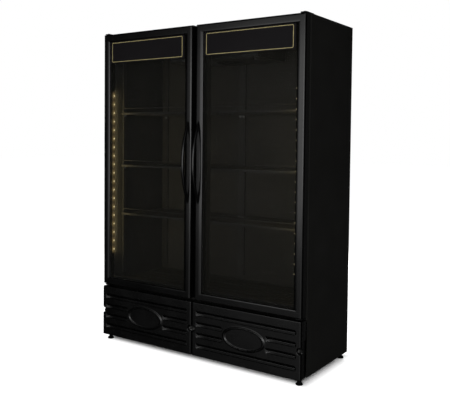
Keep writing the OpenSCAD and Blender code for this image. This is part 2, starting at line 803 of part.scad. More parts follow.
module evaporator_fan_motor() color("#2a2a2a") {
  strap_w = 2 * (evap_fan_r + fan_gap) + 20;
  translate([0, evap_fan_y, z_evap_motor])
    fan_motor(evap_motor_r, evap_motor_h, strap_w, z_evap_motor - z_evap - evap_t - seam);
}

module evaporator_fan() color("#202020")
  translate([0, evap_fan_y, z_evap_fan]) fan_wheel(evap_fan_r, evap_hub_h, 8 + 0.5 * evap_motor_h);

// Dial under the housing, with its spindle through the housing's floor
module thermostat_dial() color("#d9d9d6") {
  z_top = z_evap - 0.3;
  translate([dial_x, dial_y, z_top - dial_h]) {
    difference() {
      cylinder(r = dial_r, h = dial_h);
      translate([-1, -dial_r, -past]) cube([2, dial_r - 4, past + 1]);
    }
    cylinder(r = spindle_r, h = dial_h + evap_t + 12);
  }
}

// Sweeps a round tube along points whose corners are already rounded
function unit(v) = v / norm(v);
function corner_arc(a, b, c, r, n) =
  let (u = unit(a - b), v = unit(c - b), half = acos(u * v) / 2, reach = r / tan(half),
    mid = b + unit(u + v) * r / sin(half), p = b + u * reach - mid, q = b + v * reach - mid,
    turn = 180 - 2 * half)
  [for (i = [0 : n]) mid + (p * sin(turn * (1 - i / n)) + q * sin(turn * i / n)) / sin(turn)];
function rounded_route(pts, r, n) = concat([pts[0]],
  [for (i = [1 : len(pts) - 2]) each corner_arc(pts[i - 1], pts[i], pts[i + 1], r, n)], [pts[len(pts) - 1]]);
function heading(p, i) = unit(p[min(i + 1, len(p) - 1)] - p[max(i - 1, 0)]);
function carried(n, t) = unit(n - (n * t) * t);
function normals(p, n0) =
  [for (i = 0, n = carried(n0, heading(p, 0)); i < len(p);
    i = i + 1, n = i < len(p) ? carried(n, heading(p, i)) : n) n];
function ring(c, n, b, r, sides) =
  [for (k = [0 : sides - 1]) c + r * (cos(k * 360 / sides) * n + sin(k * 360 / sides) * b)];
function two_triangles(a, b, c, d) = [[a, b, c], [a, c, d]];
function tube_faces(rings, s) = concat(
  [[for (k = [s - 1 : -1 : 0]) k], [for (k = [0 : s - 1]) (rings - 1) * s + k]],
  [for (i = [0 : rings - 2], k = [0 : s - 1])
    each two_triangles(i * s + k, i * s + (k + 1) % s, (i + 1) * s + (k + 1) % s, (i + 1) * s + k)]);

module tube(pts, r, bend, start_normal, sides = 8) {
  route = rounded_route(pts, bend, 4);
  n = normals(route, start_normal);
  rings = [for (i = [0 : len(route) - 1])
    each ring(route[i], n[i], cross(heading(route, i), n[i]), r, sides)];
  faces = [for (f = tube_faces(len(route), sides)) [for (k = [len(f) - 1 : -1 : 0]) f[k]]];
  polyhedron(points = rings, faces = faces);
}

// The drain leaves the housing's floor, turns down in the rear wall and ends over the tray
module drain_tube() color("#e2e2de")
  tube([[drain_x, y_evap_1 - evap_t - 6, z_drain], [drain_x, duct_y, z_drain],
    [drain_x, duct_y, z_pan + tray_h + 6]], drain_r, 16, [1, 0, 0]);

module base_frame() color("#1f1f1e") {
  difference() {
    union() {
      both_sides() block(x_rail - rail_w, x_rail, y_frame_0, y_back - skin_t - seam, foot_h, z_pan);
      for (y = [y_frame_0, y_back - skin_t - seam - rail_w / 2])
        block(-x_rail, x_rail, y, y + rail_w / 2, foot_h, z_pan);
      block(-x_rail, x_rail, y_frame_0, y_back - skin_t - seam, z_pan - pan_t, z_pan);
    }
    both_sides() for (y = [foot_front_y, foot_rear_y])
      translate([foot_x, y, foot_h - past]) cylinder(r = stud_r + stud_play, h = rail_h + 2 * past);
  }
  z1 = deck_z - seam;
  // Front uprights, which the kick panels are screwed to
  difference() {
    for (x = [-x_rail + post_w / 2, 0, x_rail - post_w / 2])
      block(x - (x == 0 ? post_w : post_w / 2), x + (x == 0 ? post_w : post_w / 2),
        y_frame_0, y_frame_0 + post_d, z_pan + seam, kick_top - kick_wall - 1);
    both_sides() for (x = screw_xs) rod_y(x, y_frame_0 - past, cup_z, shank_r + 0.1, screw_bite + 2 * past);
  }
  both_sides() {
    block(x_rail - rail_w - post_w, x_rail - rail_w, y_face, y_face + post_w, z_pan + seam, z1);
    block(x_rail - rail_w - post_w, x_rail - rail_w, y_back - skin_t - seam - post_w, y_back - skin_t - seam,
      z_pan + seam, z1);
  }
  block(-post_w, post_w, y_face, y_face + post_w, z_pan + seam, z1);
}

// Hermetic shell: two pressed halves, a weld band, the foot plate and two pipe stubs
module compressor() color("#1b1c1c")
  translate([comp_x, comp_y, z_pan + seam]) {
    translate([0, 0, 14]) rotate_extrude() polygon([
      [0, 0], [0.78 * comp_r, 0], [0.94 * comp_r, 12], [comp_r, 32], [comp_r, 0.5 * comp_h],
      [comp_r + 4, 0.5 * comp_h], [comp_r + 4, 0.5 * comp_h + 8], [comp_r, 0.5 * comp_h + 8],
      [comp_r, 0.76 * comp_h], [0.93 * comp_r, 0.86 * comp_h], [0.74 * comp_r, 0.95 * comp_h],
      [0.4 * comp_r, comp_h], [0, comp_h]]);
    translate([-comp_r - 20, -0.7 * comp_r, 11]) cube([2 * comp_r + 40, 1.4 * comp_r, 3.5]);
    for (sx = [-1, 1], sy = [-1, 1])
      translate([sx * (comp_r + 6), sy * 0.55 * comp_r, 0]) cylinder(r = 10, h = 12);
    translate([-30, -comp_r - 26, 60]) cube([60, 40, 70]);
    for (dy = [-1, 1])
      translate([comp_r - 8, dy * stub_y, stub_z]) rotate([0, 90, 0]) cylinder(r = pipe_r + 1.5, h = 22);
  }
stub_y = 24;
stub_z = 80;
stub_x = comp_x + comp_r + 14;

module condenser_coil() color("#26282a") {
  z = z_pan + seam;
  translate([cond_x, cond_y, z + 6]) fin_block(cond_w, cond_d, cond_h - 12, cond_fin_pitch);
  for (x = [cond_x, cond_x + cond_w]) block(x - 1, x + 1, cond_y, cond_y + cond_d, z, z + cond_h);
  // Return bends on the end plate that faces the middle
  for (i = [0 : 3])
    translate([cond_x - 1, cond_y + cond_d / 2, cond_mid_z + (i - 1.5) * bend_pitch]) rotate([90, 0, 180])
      rotate_extrude(angle = 180) translate([12, 0]) circle(4);
}

module fan_shroud() color("#242424") {
  hole_r = cond_fan_r + fan_gap;
  difference() {
    union() {
      block(cond_x, cond_x + cond_w, shroud_y, shroud_y + shroud_t, z_pan + seam, z_pan + seam + cond_h);
      rod_y(cond_mid_x, shroud_y, cond_mid_z, hole_r + shroud_t, shroud_lip);
    }
    rod_y(cond_mid_x, shroud_y - past, cond_mid_z, hole_r, shroud_lip + 2 * past);
  }
}

// Turns a shape that was built along +Z to point to the back
module at_condenser(y) translate([cond_mid_x, y, cond_mid_z]) rotate([-90, 0, 0]) children();

module condenser_fan_motor() color("#2c2c2c")
  at_condenser(cond_motor_y) fan_motor(cond_motor_r, cond_motor_len,
    2 * (cond_fan_r + fan_gap + shroud_t) + 24, cond_motor_y - shroud_y - shroud_t - seam);

module condenser_fan() color("#303030")
  at_condenser(cond_fan_y) fan_wheel(cond_fan_r, cond_hub_h, 8 + 0.5 * cond_motor_len);

// Discharge line to the condenser, suction line and liquid line up the rear wall
module refrigerant_pipes() color("#b0713f") {
  gap = 0.3;
  z_stub = z_pan + seam + stub_z;
  x_cond = cond_x - 30;
  z_in = z_pan + seam + cond_h - 20;
  y_cond = cond_y + cond_d / 2;
  up = [0, 0, 1];
  tube([[stub_x + gap, comp_y - stub_y, z_stub], [stub_x + 60, comp_y - stub_y, z_stub],
    [stub_x + 60, y_cond, z_stub], [stub_x + 60, y_cond, z_in], [cond_x - 1 - gap, y_cond, z_in]],
    pipe_r, 14, up);
  tube([[stub_x + gap, comp_y + stub_y, z_stub], [suction_x, comp_y + stub_y, z_stub],
    [suction_x, comp_y + stub_y, deck_z - 24], [suction_x, duct_y, deck_z - 24],
    [suction_x, duct_y, z_suction], [suction_x, y_evap_coil + evap_coil_d + 20, z_suction]], pipe_r, 14, up);
  z_low = z_pan + liquid_up;
  y_low = comp_y + stub_y + 24;
  tube([[cond_x - 1 - gap, y_cond, z_low], [x_cond, y_cond, z_low],
    [x_cond, y_low, z_low], [liquid_x, y_low, z_low],
    [liquid_x, y_low, deck_z - 44], [liquid_x, duct_y, deck_z - 44],
    [liquid_x, duct_y, z_liquid], [liquid_x, y_evap_coil + evap_coil_d + 20, z_liquid]], pipe_r, 14, up);
}

// Open tray that catches the melt water beside the compressor
module condensate_tray() color("#3c3c3a") {
  z0 = z_pan + seam;
  difference() {
    block(tray_x0, tray_x1, tray_y0, tray_y1, z0, z0 + tray_h);
    block(tray_x0 + tray_wall, tray_x1 - tray_wall, tray_y0 + tray_wall, tray_y1 - tray_wall,
      z0 + tray_wall, z0 + tray_h + past);
  }
}

// Cover of the electrical parts, open towards the pan that it stands on, with a lid in its front
module control_box() color("#6d6e6e") {
  x1 = x_rail - 40;
  x0 = x1 - box_w;
  y1 = y_back - 90;
  y0 = y1 - box_d;
  z0 = z_pan + seam;
  difference() {
    block(x0, x1, y0, y1, z0, z0 + box_h);
    block(x0 + box_wall, x1 - box_wall, y0 + box_wall, y1 - box_wall, z0 - past, z0 + box_h - box_wall);
  }
  block(x0 + 10, x1 - 10, y0 - 2, y0 + 1, z0 + 20, z0 + box_h - 20);
}

// Gland that is screwed into the rear grille: nut inside, flush flange outside
module cable_gland() color("#0c0c0c") {
  y1 = y_back;
  difference() {
    union() {
      rod_y(gland_x, y1 - skin_t, gland_z, gland_r - 1 - seam, skin_t);
      rod_y(gland_x, y1 - gland_len, gland_z, 0.7 * gland_r, gland_len);
      translate([gland_x, y1 - skin_t - seam - gland_nut, gland_z]) rotate([-90, 0, 0])
        cylinder(r = gland_r, h = gland_nut, $fn = 6);
    }
    rod_y(gland_x, y1 - gland_len - past, gland_z, gland_bore_r, gland_len + 2 * past);
  }
}

module rear_grille() color("#1a1a19") {
  x = x_side - skin_t - seam;
  z0 = z_pan + seam;
  z1 = deck_z - seam;
  edge = 30;
  rows = floor((z1 - z0 - 2 * edge) / vent_row);
  difference() {
    block(-x, x, y_back - skin_t, y_back, foot_h + 4, z1);
    for (c = [-2 : 2], r = [0 : rows])
      translate([c * vent_column - vent_len / 2, y_back - skin_t - past, z0 + edge + r * vent_row])
        cube([vent_len, skin_t + 2 * past, vent_h]);
    rod_y(gland_x, y_back - skin_t - past, gland_z, gland_r - 1, skin_t + 2 * past);
  }
}

// Outline of a groove seen from the front: a bar with round ends
module groove_outline(x0, x1, z1) {
  r = groove_h / 2;
  translate([(x0 + x1) / 2, z1 - r]) {
    square([x1 - x0 - 2 * r, groove_h], center = true);
    for (sx = [-1, 1]) translate([sx * ((x1 - x0) / 2 - r), 0]) circle(r);
  }
}

// Space behind a groove, from the plane front to a floor that slopes from the upper edge to the lower one.
// It reaches g past the groove's edges and t deeper
module groove_wedge(x0, x1, z1, front, g, t) {
  more = g * (groove_d - groove_low) / groove_h;
  translate([x0 - g, 0, 0]) rotate([90, 0, 90]) linear_extrude(x1 - x0 + 2 * g) polygon([
    [front, z1 + g], [y_kick + groove_d + more + t, z1 + g],
    [y_kick + groove_low - more + t, z1 - groove_h - g], [front, z1 - groove_h - g]]);
}

// Spans of the four grooves of the right panel: the middle two stop beside the badge
function groove_spans() = let (a = x_kick_in + groove_end, b = x_kick_out - groove_end,
    c = kick_mid_x - badge_w / 2 - badge_space, d = kick_mid_x + badge_w / 2 + badge_space)
  [[a, b, 0], [a, c, 1], [d, b, 1], [a, c, 2], [d, b, 2], [a, b, 3]];

function ellipse(w, h, n) = [for (i = [0 : n - 1]) [w / 2 * cos(360 * i / n), h / 2 * sin(360 * i / n)]];

// Plan of the right kick panel as far back as y1, drawn in by w all round. Behind the corner its side
// steps in by step
module kick_plan(w, step, y1) {
  x0 = x_kick_in + w;
  x1 = x_kick_out - w;
  y0 = y_kick + w;
  r = kick_r - w;
  difference() {
    union() {
      translate([x0, y0]) square([x1 - x0 - r, y1 - y0]);
      translate([x0, y0 + r]) square([x1 - x0, y1 - y0 - r]);
      translate([x1 - r, y0 + r]) circle(r);
    }
    if (step > 0) translate([x1 - step, step_y - w]) square([step + past, y1 - y0]);
  }
}

// The shell of the right kick panel with its returns at the side and in the middle. A ledge joins the
// side's two faces
module kick_shell() {
  ledge_z = step_z + kick_wall;
  for (p = [[foot_h, step_z, step_d, step_d], [step_z, ledge_z, 0, step_d], [ledge_z, kick_top, 0, 0]])
    translate([0, 0, p[0]]) linear_extrude(p[1] - p[0]) difference() {
      kick_plan(0, p[2], y_face - kick_end);
      kick_plan(kick_wall, p[3], y_face);
      // The return in the middle ends in front of the base frame
      translate([x_kick_in - past, y_frame_0 - 1]) square([kick_wall + 2 * past, y_face - y_frame_0]);
    }
  translate([0, 0, kick_top - kick_wall]) linear_extrude(kick_wall) kick_plan(1, 0, y_face - kick_top_end);
}

// The oval of the badge base, drawn in by w
function badge_oval(w) = ellipse(badge_w - 2 * w, badge_h - 2 * w, 96);

module kick_panel() {
  backing = kick_wall - 0.5;
  difference() {
    union() {
      kick_shell();
      for (s = groove_spans())
        groove_wedge(s[0], s[1], z_groove_top - s[2] * groove_pitch, y_kick + 1, backing, backing);
      // Each screw cup has a boss that seats on the base frame's upright
      for (x = screw_xs) {
        rod_y(x, y_kick + 1, cup_z, cup_r + 1.5, cup_d + 1);
        rod_y(x, y_kick + cup_d, cup_z, shank_r + 3, y_frame_0 - kick_seat - cup_floor_y);
      }
      upright_plate(kick_mid_x, y_kick - badge_t / 2, badge_z, badge_t / 2 + 1) polygon(badge_oval(0));
      upright_plate(kick_mid_x, y_kick - badge_t, badge_z, badge_t + 1) polygon(badge_oval(badge_step));
    }
    for (s = groove_spans()) intersection() {
      groove_wedge(s[0], s[1], z_groove_top - s[2] * groove_pitch, y_kick - past, past, 0);
      upright_plate(0, y_kick - 2 * past, 0, groove_d + 4 * past)
        groove_outline(s[0], s[1], z_groove_top - s[2] * groove_pitch);
    }
    // Field of the badge inside its ring
    upright_plate(kick_mid_x, y_kick - badge_t - past, badge_z, past + 0.4 * badge_t)
      polygon(badge_oval(badge_step + ring_w));
    for (x = screw_xs) {
      rod_y(x, y_kick - past, cup_z, cup_r, cup_d + past);
      rod_y(x, y_kick, cup_z, shank_r + 0.3, y_frame_0 - y_kick);
    }
    bevel_cut = kick_bevel * sqrt(2);
    translate([x_kick_in - past, y_kick - kick_bevel, kick_top]) rotate([45, 0, 0])
      translate([0, 0, -bevel_cut]) cube([x_kick_out - x_kick_in + 2 * past, bevel_cut, bevel_cut]);
  }
}

module left_kick_panel() color("#1d1d1c") mirror([1, 0, 0]) kick_panel();
module right_kick_panel() color("#1d1d1c") kick_panel();

module kick_screws() color("#3b3b3a") both_sides()
  for (x = screw_xs) {
    rod_y(x, cup_floor_y - seam - 3, cup_z, screw_r, 3);
    rod_y(x, cup_floor_y - 1, cup_z, shank_r, y_frame_0 + screw_bite - cup_floor_y + 1);
  }

// Plate on the roof that reaches over the door, with the pin that points down into it
module top_hinge_bracket() {
  x1 = x_door_out - 2;
  x0 = x1 - bracket_w;
  z0 = body_h + seam;
  block(x0, x1, pivot_y - 15, y_face + bracket_seat, z0, z0 + bracket_t);
  translate([pivot_x, pivot_y, z_door_top + collar_gap])
    cylinder(r = collar_r, h = z0 - z_door_top - collar_gap + 1);
  translate([pivot_x, pivot_y, z_door_top - pin_depth]) cylinder(r = pin_r, h = pin_depth + door_top_gap + 1);
  translate([pivot_x, pivot_y, z0 + bracket_t - 1]) cylinder(r = 1.5 * pin_r, h = bracket_screw_h + 1);
  for (y = [y_face + 14, y_face + bracket_seat - 12])
    translate([(x0 + x1) / 2, y, z0 + bracket_t - 1]) cylinder(r = 6, h = bracket_screw_h + 1);
}

module top_hinge_brackets() color("#2a2a29") both_sides() top_hinge_bracket();

// Angle on the cabinet's lower front flange, with the pin that points up into the door
module bottom_hinge_bracket() {
  x1 = x_kick_out - kick_wall - 2;
  x0 = x1 - bracket_w;
  z0 = z_bottom_plate;
  y1 = y_face - seam;
  block(x0, x1, pivot_y - 15, y1, z0, z0 + bracket_t);
  block(x0, x1, y1 - 3, y1, deck_z + 1, z0 + bracket_t);
  translate([pivot_x, pivot_y, z0 + 1]) cylinder(r = collar_r, h = door_bottom - collar_gap - z0 - 1);
  translate([pivot_x, pivot_y, z0 + 1]) cylinder(r = pin_r, h = door_bottom + pin_depth - z0 - 1);
}

module bottom_hinge_brackets() color("#2a2a29") both_sides() bottom_hinge_bracket();

// Bell-shaped levelling foot with its stud
module foot() color("#121212") {
  rotate_extrude() polygon([
    [0, 0], [foot_r - 1.5, 0], [foot_r, 2], [foot_r, 0.2 * foot_h], [0.93 * foot_r, 0.42 * foot_h],
    [0.8 * foot_r, 0.62 * foot_h], [0.68 * foot_r, 0.8 * foot_h], [0.66 * foot_r, foot_h - seam],
    [stud_r, foot_h - seam], [stud_r, z_pan + foot_travel + 8], [0, z_pan + foot_travel + 8]]);
}

module front_left_foot() translate([-foot_x, foot_front_y, 0]) foot();
module front_right_foot() translate([foot_x, foot_front_y, 0]) foot();
module rear_left_foot() translate([-foot_x, foot_rear_y, 0]) foot();
module rear_right_foot() translate([foot_x, foot_rear_y, 0]) foot();

// Section of a frame profile, w wide: across the width along x, from the rear to the front along y
function frame_section(w) =
  let (s = w / frame_w, r = frame_edge_r, g = door_t - glass_recess, back = g - glass_t)
  [for (p = concat(
    [[0, 0], [0, door_t - r]],
    [for (i = [1 : 5]) [r * (1 - cos(i * 18)), door_t - r + r * sin(i * 18)]],
    [[frame_w - bevel_w, door_t], [frame_w - bevel_w + 2.5, door_t - 0.7], [frame_w - 1, g + lip_t + 0.7],
     [frame_w, g + lip_t - 0.6], [frame_w, g + seam],
     [frame_w - glass_bite, g + seam], [frame_w - glass_bite, back - seam],
     [frame_w - rear_step, back - seam], [frame_w - rear_step, 0]])) [p[0] * s, p[1]]];

// An upright profile at the outer side, as long as the door, with both mitres cut
module stile() {
  z0 = door_bottom + mitre_gap;
  z1 = z_door_top - mitre_gap;
  intersection() {
    translate([x_door_out, y_door_rear, door_bottom]) mirror([1, 0, 0]) mirror([0, 1, 0])
      linear_extrude(z_door_top - door_bottom) polygon(frame_section(frame_w));
    upright_plate(0, y_door - past, 0, door_t + 2 * past) polygon([
      [x_door_out + past, z0 - past * rail_bottom_w / frame_w],
      [x_door_out + past, z1 + past * rail_top_w / frame_w],
      [x_door_out - frame_w - past, z1 - rail_top_w - past * rail_top_w / frame_w],
      [x_door_out - frame_w - past, z0 + rail_bottom_w + past * rail_bottom_w / frame_w]]);
  }
}

// The upper or lower profile between the uprights
module rail(w, z_edge, up) {
  s = up ? -1 : 1;
  g = mitre_gap * frame_w / w;
  intersection() {
    translate([x_door_in, y_door_rear, z_edge]) rotate([90, 0, 90]) linear_extrude(x_door_out - x_door_in)
      polygon([for (p = frame_section(w)) [-p[1], s * p[0]]]);
    upright_plate(0, y_door - past, 0, door_t + 2 * past) polygon([
      [x_door_in + g - past, z_edge - s * past * w / frame_w],
      [x_door_out - g + past, z_edge - s * past * w / frame_w],
      [x_door_out - g - frame_w - past, z_edge + s * (w + past * w / frame_w)],
      [x_door_in + g + frame_w + past, z_edge + s * (w + past * w / frame_w)]]);
  }
}

module door_frame() color("#363636") difference() {
  union() {
    stile();
    translate([x_door_out + x_door_in, 0, 0]) mirror([1, 0, 0]) stile();
    rail(rail_top_w, z_door_top, true);
    rail(rail_bottom_w, door_bottom, false);
  }
  for (z = [door_bottom - past, z_door_top - pin_depth - past])
    translate([pivot_x, pivot_y, z]) cylinder(r = pin_r + pin_play, h = pin_depth + 2 * past);
}

module door_glass() color("#9fb0b0", 0.25)
  for (y = [y_glass, y_glass_rear - pane_t])
    block(x_pane_in, x_pane_out, y, y + pane_t, z_pane_0, z_pane_1);

module glass_spacer() color("#8d8f90") {
  y0 = y_glass + pane_t + seam / 2;
  y1 = y_glass_rear - pane_t - seam / 2;
  difference() {
    block(x_pane_in, x_pane_out, y0, y1, z_pane_0, z_pane_1);
    block(x_pane_in + spacer_w, x_pane_out - spacer_w, y0 - past, y1 + past,
      z_pane_0 + spacer_w, z_pane_1 - spacer_w);
  }
}

// Four lengths of magnetic gasket on the rear of the door
module door_gasket() color("#0e0e0e") {
  x0 = x_door_in + gasket_inset;
  x1 = x_door_out - gasket_inset;
  z0 = door_bottom + gasket_inset;
  z1 = z_door_top - gasket_inset;
  w = gasket_w;
  y0 = y_door_rear + seam;
  y1 = y_face - gasket_play;
  block(x1 - w, x1, y0, y1, z0, z1);
  block(x0, x0 + w, y0, y1, z0, z1);
  block(x0 + w + seam, x1 - w - seam, y0, y1, z0, z0 + w);
  block(x0 + w + seam, x1 - w - seam, y0, y1, z1 - w, z1);
}

// Bow handle: a circular arc between its two feet on the door's inner stile
handle_x = x_door_in + frame_w / 2;
bow_outer_r = (pow(handle_len / 2, 2) + pow(handle_reach, 2)) / (2 * handle_reach);
bow_rise = handle_reach - handle_t / 2;
bow_r = bow_outer_r - handle_t / 2;
bow_half = asin(handle_len / 2 / bow_outer_r);
function bow_width(a) = handle_w - (handle_w - handle_foot_w) * pow(abs(a) / bow_half, 2.5);
function bow_ring(a, n) = let (w = bow_width(a) / 2, t = handle_t / 2,
    c = [handle_x, y_door - bow_rise + bow_r * (1 - cos(a)), handle_mid + bow_r * sin(a)],
    out = [0, -cos(a), sin(a)])
  [for (k = [0 : n - 1]) let (q = 360 * k / n, cx = cos(q), cy = sin(q))
    c + [w * sign(cx) * pow(abs(cx), 0.7), 0, 0] + out * t * sign(cy) * pow(abs(cy), 0.7)];

module door_handle() color("#0b0b0b") {
  sides = 16;
  steps = 30;
  a1 = bow_half + 2;
  rings = [for (i = [0 : steps]) each bow_ring(-a1 + 2 * a1 * i / steps, sides)];
  difference() {
    polyhedron(points = rings, faces = tube_faces(steps + 1, sides));
    block(handle_x - handle_w, handle_x + handle_w, y_door - seam, y_door + 3 * handle_t,
      handle_mid - handle_len, handle_mid + handle_len);
  }
}

// Header plate on the glass, with a raised border line
module header_sign() color("#3d3b36") {
  x0 = x_door_in + frame_w + sign_gap;
  x1 = x_door_out - frame_w - sign_gap;
  z1 = z_door_top - rail_top_w;
  w = x1 - x0;
  xc = (x0 + x1) / 2;
  zc = z1 - sign_h / 2;
  upright_plate(xc, y_glass - sign_t, zc, sign_t - seam) round_rect(w, sign_h, sign_r);
  upright_plate(xc, y_glass - sign_t - border_t, zc, border_t + 1) difference() {
    round_rect(w - 2 * border_in, sign_h - 2 * border_in, sign_r);
    round_rect(w - 2 * border_in - 2 * border_w, sign_h - 2 * border_in - 2 * border_w, sign_r - border_w);
  }
}

// Channel beside the glass with its row of light points
module lamp_strip() color("#f4edc8") {
  x1 = x_door_out - frame_w + rear_step - seam;
  y_mid = (y_door_rear + y_glass_rear - 4) / 2;
  count = floor((lamp_len - 2 * lamp_dot_r) / lamp_pitch);
  block(x1 - lamp_t, x1, y_mid - lamp_w / 2, y_mid + lamp_w / 2,
    lamp_mid - lamp_len / 2, lamp_mid + lamp_len / 2);
  for (i = [0 : count]) translate([x1 - lamp_t + 1, y_mid, lamp_mid + (i - count / 2) * lamp_pitch])
    rotate([0, -90, 0]) cylinder(r = lamp_dot_r, h = lamp_dot_h + 1);
}

module left_door_frame() mirror([1, 0, 0]) door_frame();
module left_door_glass() mirror([1, 0, 0]) door_glass();
module left_glass_spacer() mirror([1, 0, 0]) glass_spacer();
module left_door_gasket() mirror([1, 0, 0]) door_gasket();
module left_door_handle() mirror([1, 0, 0]) door_handle();
module left_header_sign() mirror([1, 0, 0]) header_sign();
module left_lamp_strip() mirror([1, 0, 0]) lamp_strip();
module right_door_frame() door_frame();
module right_door_glass() door_glass();
module right_glass_spacer() glass_spacer();
module right_door_gasket() door_gasket();
module right_door_handle() door_handle();
module right_header_sign() header_sign();
module right_lamp_strip() lamp_strip();

left_side_panel();
right_side_panel();
roof_panel();
rear_panel();
deck_panel();
foam_insulation();
liner_panels();
breaker_strips();
centre_mullion();
shelf_uprights();
shelf_clips();
left_upper_shelf();
left_middle_shelf();
left_lower_shelf();
right_upper_shelf();
right_middle_shelf();
right_lower_shelf();
shelf_guards();
left_floor_rack();
right_floor_rack();
evaporator_cover();
evaporator_coil();
evaporator_fan_motor();
evaporator_fan();
thermostat_dial();
drain_tube();
base_frame();
compressor();
condenser_coil();
fan_shroud();
condenser_fan_motor();
condenser_fan();
refrigerant_pipes();
condensate_tray();
control_box();
cable_gland();
rear_grille();
left_kick_panel();
right_kick_panel();
kick_screws();
top_hinge_brackets();
bottom_hinge_brackets();
front_left_foot();
front_right_foot();
rear_left_foot();
rear_right_foot();
left_door_frame();
left_door_glass();
left_glass_spacer();
left_door_gasket();
left_door_handle();
left_header_sign();
left_lamp_strip();
right_door_frame();
right_door_glass();
right_glass_spacer();
right_door_gasket();
right_door_handle();
right_header_sign();
right_lamp_strip();
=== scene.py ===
"""Looks of an upright display refrigerator with two hinged glass doors. Shapes are written in
millimetres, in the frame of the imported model: +X right, +Y to the back, +Z up, floor at 0."""
from math import asin, atan2, copysign, cos, hypot, pi, radians, sin, sqrt, tan

import bmesh
import bpy
from mathutils import Matrix, Vector


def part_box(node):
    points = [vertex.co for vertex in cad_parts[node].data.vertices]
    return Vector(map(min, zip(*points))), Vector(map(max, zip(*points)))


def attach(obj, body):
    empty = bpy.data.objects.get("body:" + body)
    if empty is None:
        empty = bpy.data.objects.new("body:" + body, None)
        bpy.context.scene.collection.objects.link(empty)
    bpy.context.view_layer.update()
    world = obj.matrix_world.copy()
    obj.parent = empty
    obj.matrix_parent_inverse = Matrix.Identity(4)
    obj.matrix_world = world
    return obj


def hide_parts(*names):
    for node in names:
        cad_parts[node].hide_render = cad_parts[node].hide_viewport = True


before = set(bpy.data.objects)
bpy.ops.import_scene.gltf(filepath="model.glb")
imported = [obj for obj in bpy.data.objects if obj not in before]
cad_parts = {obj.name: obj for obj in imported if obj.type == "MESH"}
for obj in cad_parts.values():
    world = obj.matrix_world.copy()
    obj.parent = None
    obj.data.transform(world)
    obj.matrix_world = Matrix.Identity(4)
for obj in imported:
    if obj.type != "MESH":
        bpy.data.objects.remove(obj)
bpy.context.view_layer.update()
scene = bpy.context.scene

# Camera. It stands to the right of the cabinet, a little over half its height, and its picture is
# shifted so that the optical axis lies left of and above the middle.
PICTURE, FOCAL, SHIFT = 450, 656.5, (31, -35)  # width, focal length and shift in pixels
SENSOR, STAND = 36, (2.2701, -3.4254, 1.3333)  # width in millimetres, place in metres


def new_object(name, data):
    """An object in the scene."""
    thing = bpy.data.objects.new(name, data)
    scene.collection.objects.link(thing)
    return thing


yaw, pitch, roll = (radians(a) for a in (35.69, 2.343, 0.459))
forward = Vector((-sin(yaw) * cos(pitch), cos(yaw) * cos(pitch), -sin(pitch)))
across = Vector((cos(yaw), sin(yaw), 0))
upward = across.cross(forward)
across, upward = (cos(roll) * across + sin(roll) * upward, cos(roll) * upward - sin(roll) * across)
lens = bpy.data.cameras.new("photo_camera")
lens.sensor_width = SENSOR
lens.lens = FOCAL / PICTURE * SENSOR
lens.shift_x, lens.shift_y = (v / PICTURE for v in SHIFT)
camera = new_object("photo_camera", lens)
camera.matrix_world = Matrix([[across[i], upward[i], -forward[i], p]
                              for i, p in enumerate(STAND)] + [[0, 0, 0, 1]])
scene.camera = camera

# Outer sheets. Pre-painted steel under rolled black enamel with a fine orange peel; the side sheets
# are folded round the front edge into a flange, and the roof sheet is folded down in front.
mm = 0.001
SIDES = ((1, "right"), (-1, "left"))
HALF, FRONT, REAR, ROOF = 725, -216, 344, 2000  # outer faces of the cabinet
SHEET, FOLD = 1.2, 2.5  # thickness of a sheet and outer radius of its folds
FLANGE_X, FLANGE_Z = 681, 345  # where the flange ends beside the door and over the kick panel


def linear(colour):
    """Linear colour of an sRGB hex value."""
    parts = [int(colour[i:i + 2], 16) / 255 for i in (1, 3, 5)]
    return (*[c / 12.92 if c <= 0.04045 else ((c + 0.055) / 1.055) ** 2.4 for c in parts], 1.0)


def add(tree, kind, inputs=None, **settings):
    """Adds a node with its settings, values and links. A kind is a shader node's unless it says
    more, and a node that is given as a value is linked by its first output."""
    node = tree.nodes.new(kind if "Node" in kind else "ShaderNode" + kind)
    for key, value in settings.items():
        setattr(node, key, value)
    for key, value in (inputs or {}).items():
        value = value.outputs[0] if isinstance(value, bpy.types.Node) else value
        if isinstance(value, bpy.types.NodeSocket):
            tree.links.new(value, node.inputs[key])
        else:
            node.inputs[key].default_value = value
    return node


def finish(name, dark, light, patch, rough, grain, relief, shine=0.5, metal=0.0, stretch=(1, 1, 1)):
    """A surface whose colour drifts between two shades in patches, with a grain that stands in
    relief. patch, grain and relief are in millimetres, rough holds the least and the most
    roughness, shine is the specular level, and stretch scales the pattern along each axis."""
    material = bpy.data.materials.new(name)
    material.use_nodes = True
    tree = material.node_tree
    tree.nodes.clear()
    spot = add(tree, "TexCoord").outputs["Object"]
    place = add(tree, "Mapping", {"Vector": spot, "Scale": stretch})
    drift = add(tree, "TexNoise", {"Vector": place, "Scale": 1 / (patch * mm), "Detail": 4.0})
    shade = add(tree, "MapRange", {"Value": drift, "From Min": 0.3, "From Max": 0.7})
    colour = add(tree, "Mix", {"Factor": shade, 6: linear(dark), 7: linear(light)},
                 data_type="RGBA").outputs[2]
    gloss = add(tree, "MapRange", {"Value": drift, "From Min": 0.3, "From Max": 0.7,
                                   "To Min": rough[0], "To Max": rough[1]})
    fine = add(tree, "TexNoise", {"Vector": place, "Scale": 1 / (grain * mm), "Detail": 2.0})
    bump = add(tree, "Bump", {"Height": fine, "Distance": relief * mm})
    shader = add(tree, "BsdfPrincipled", {
        "Base Color": colour, "Roughness": gloss, "Normal": bump, "Metallic": metal,
        "Specular IOR Level": shine})
    add(tree, "OutputMaterial", {"Surface": shader})
    return material


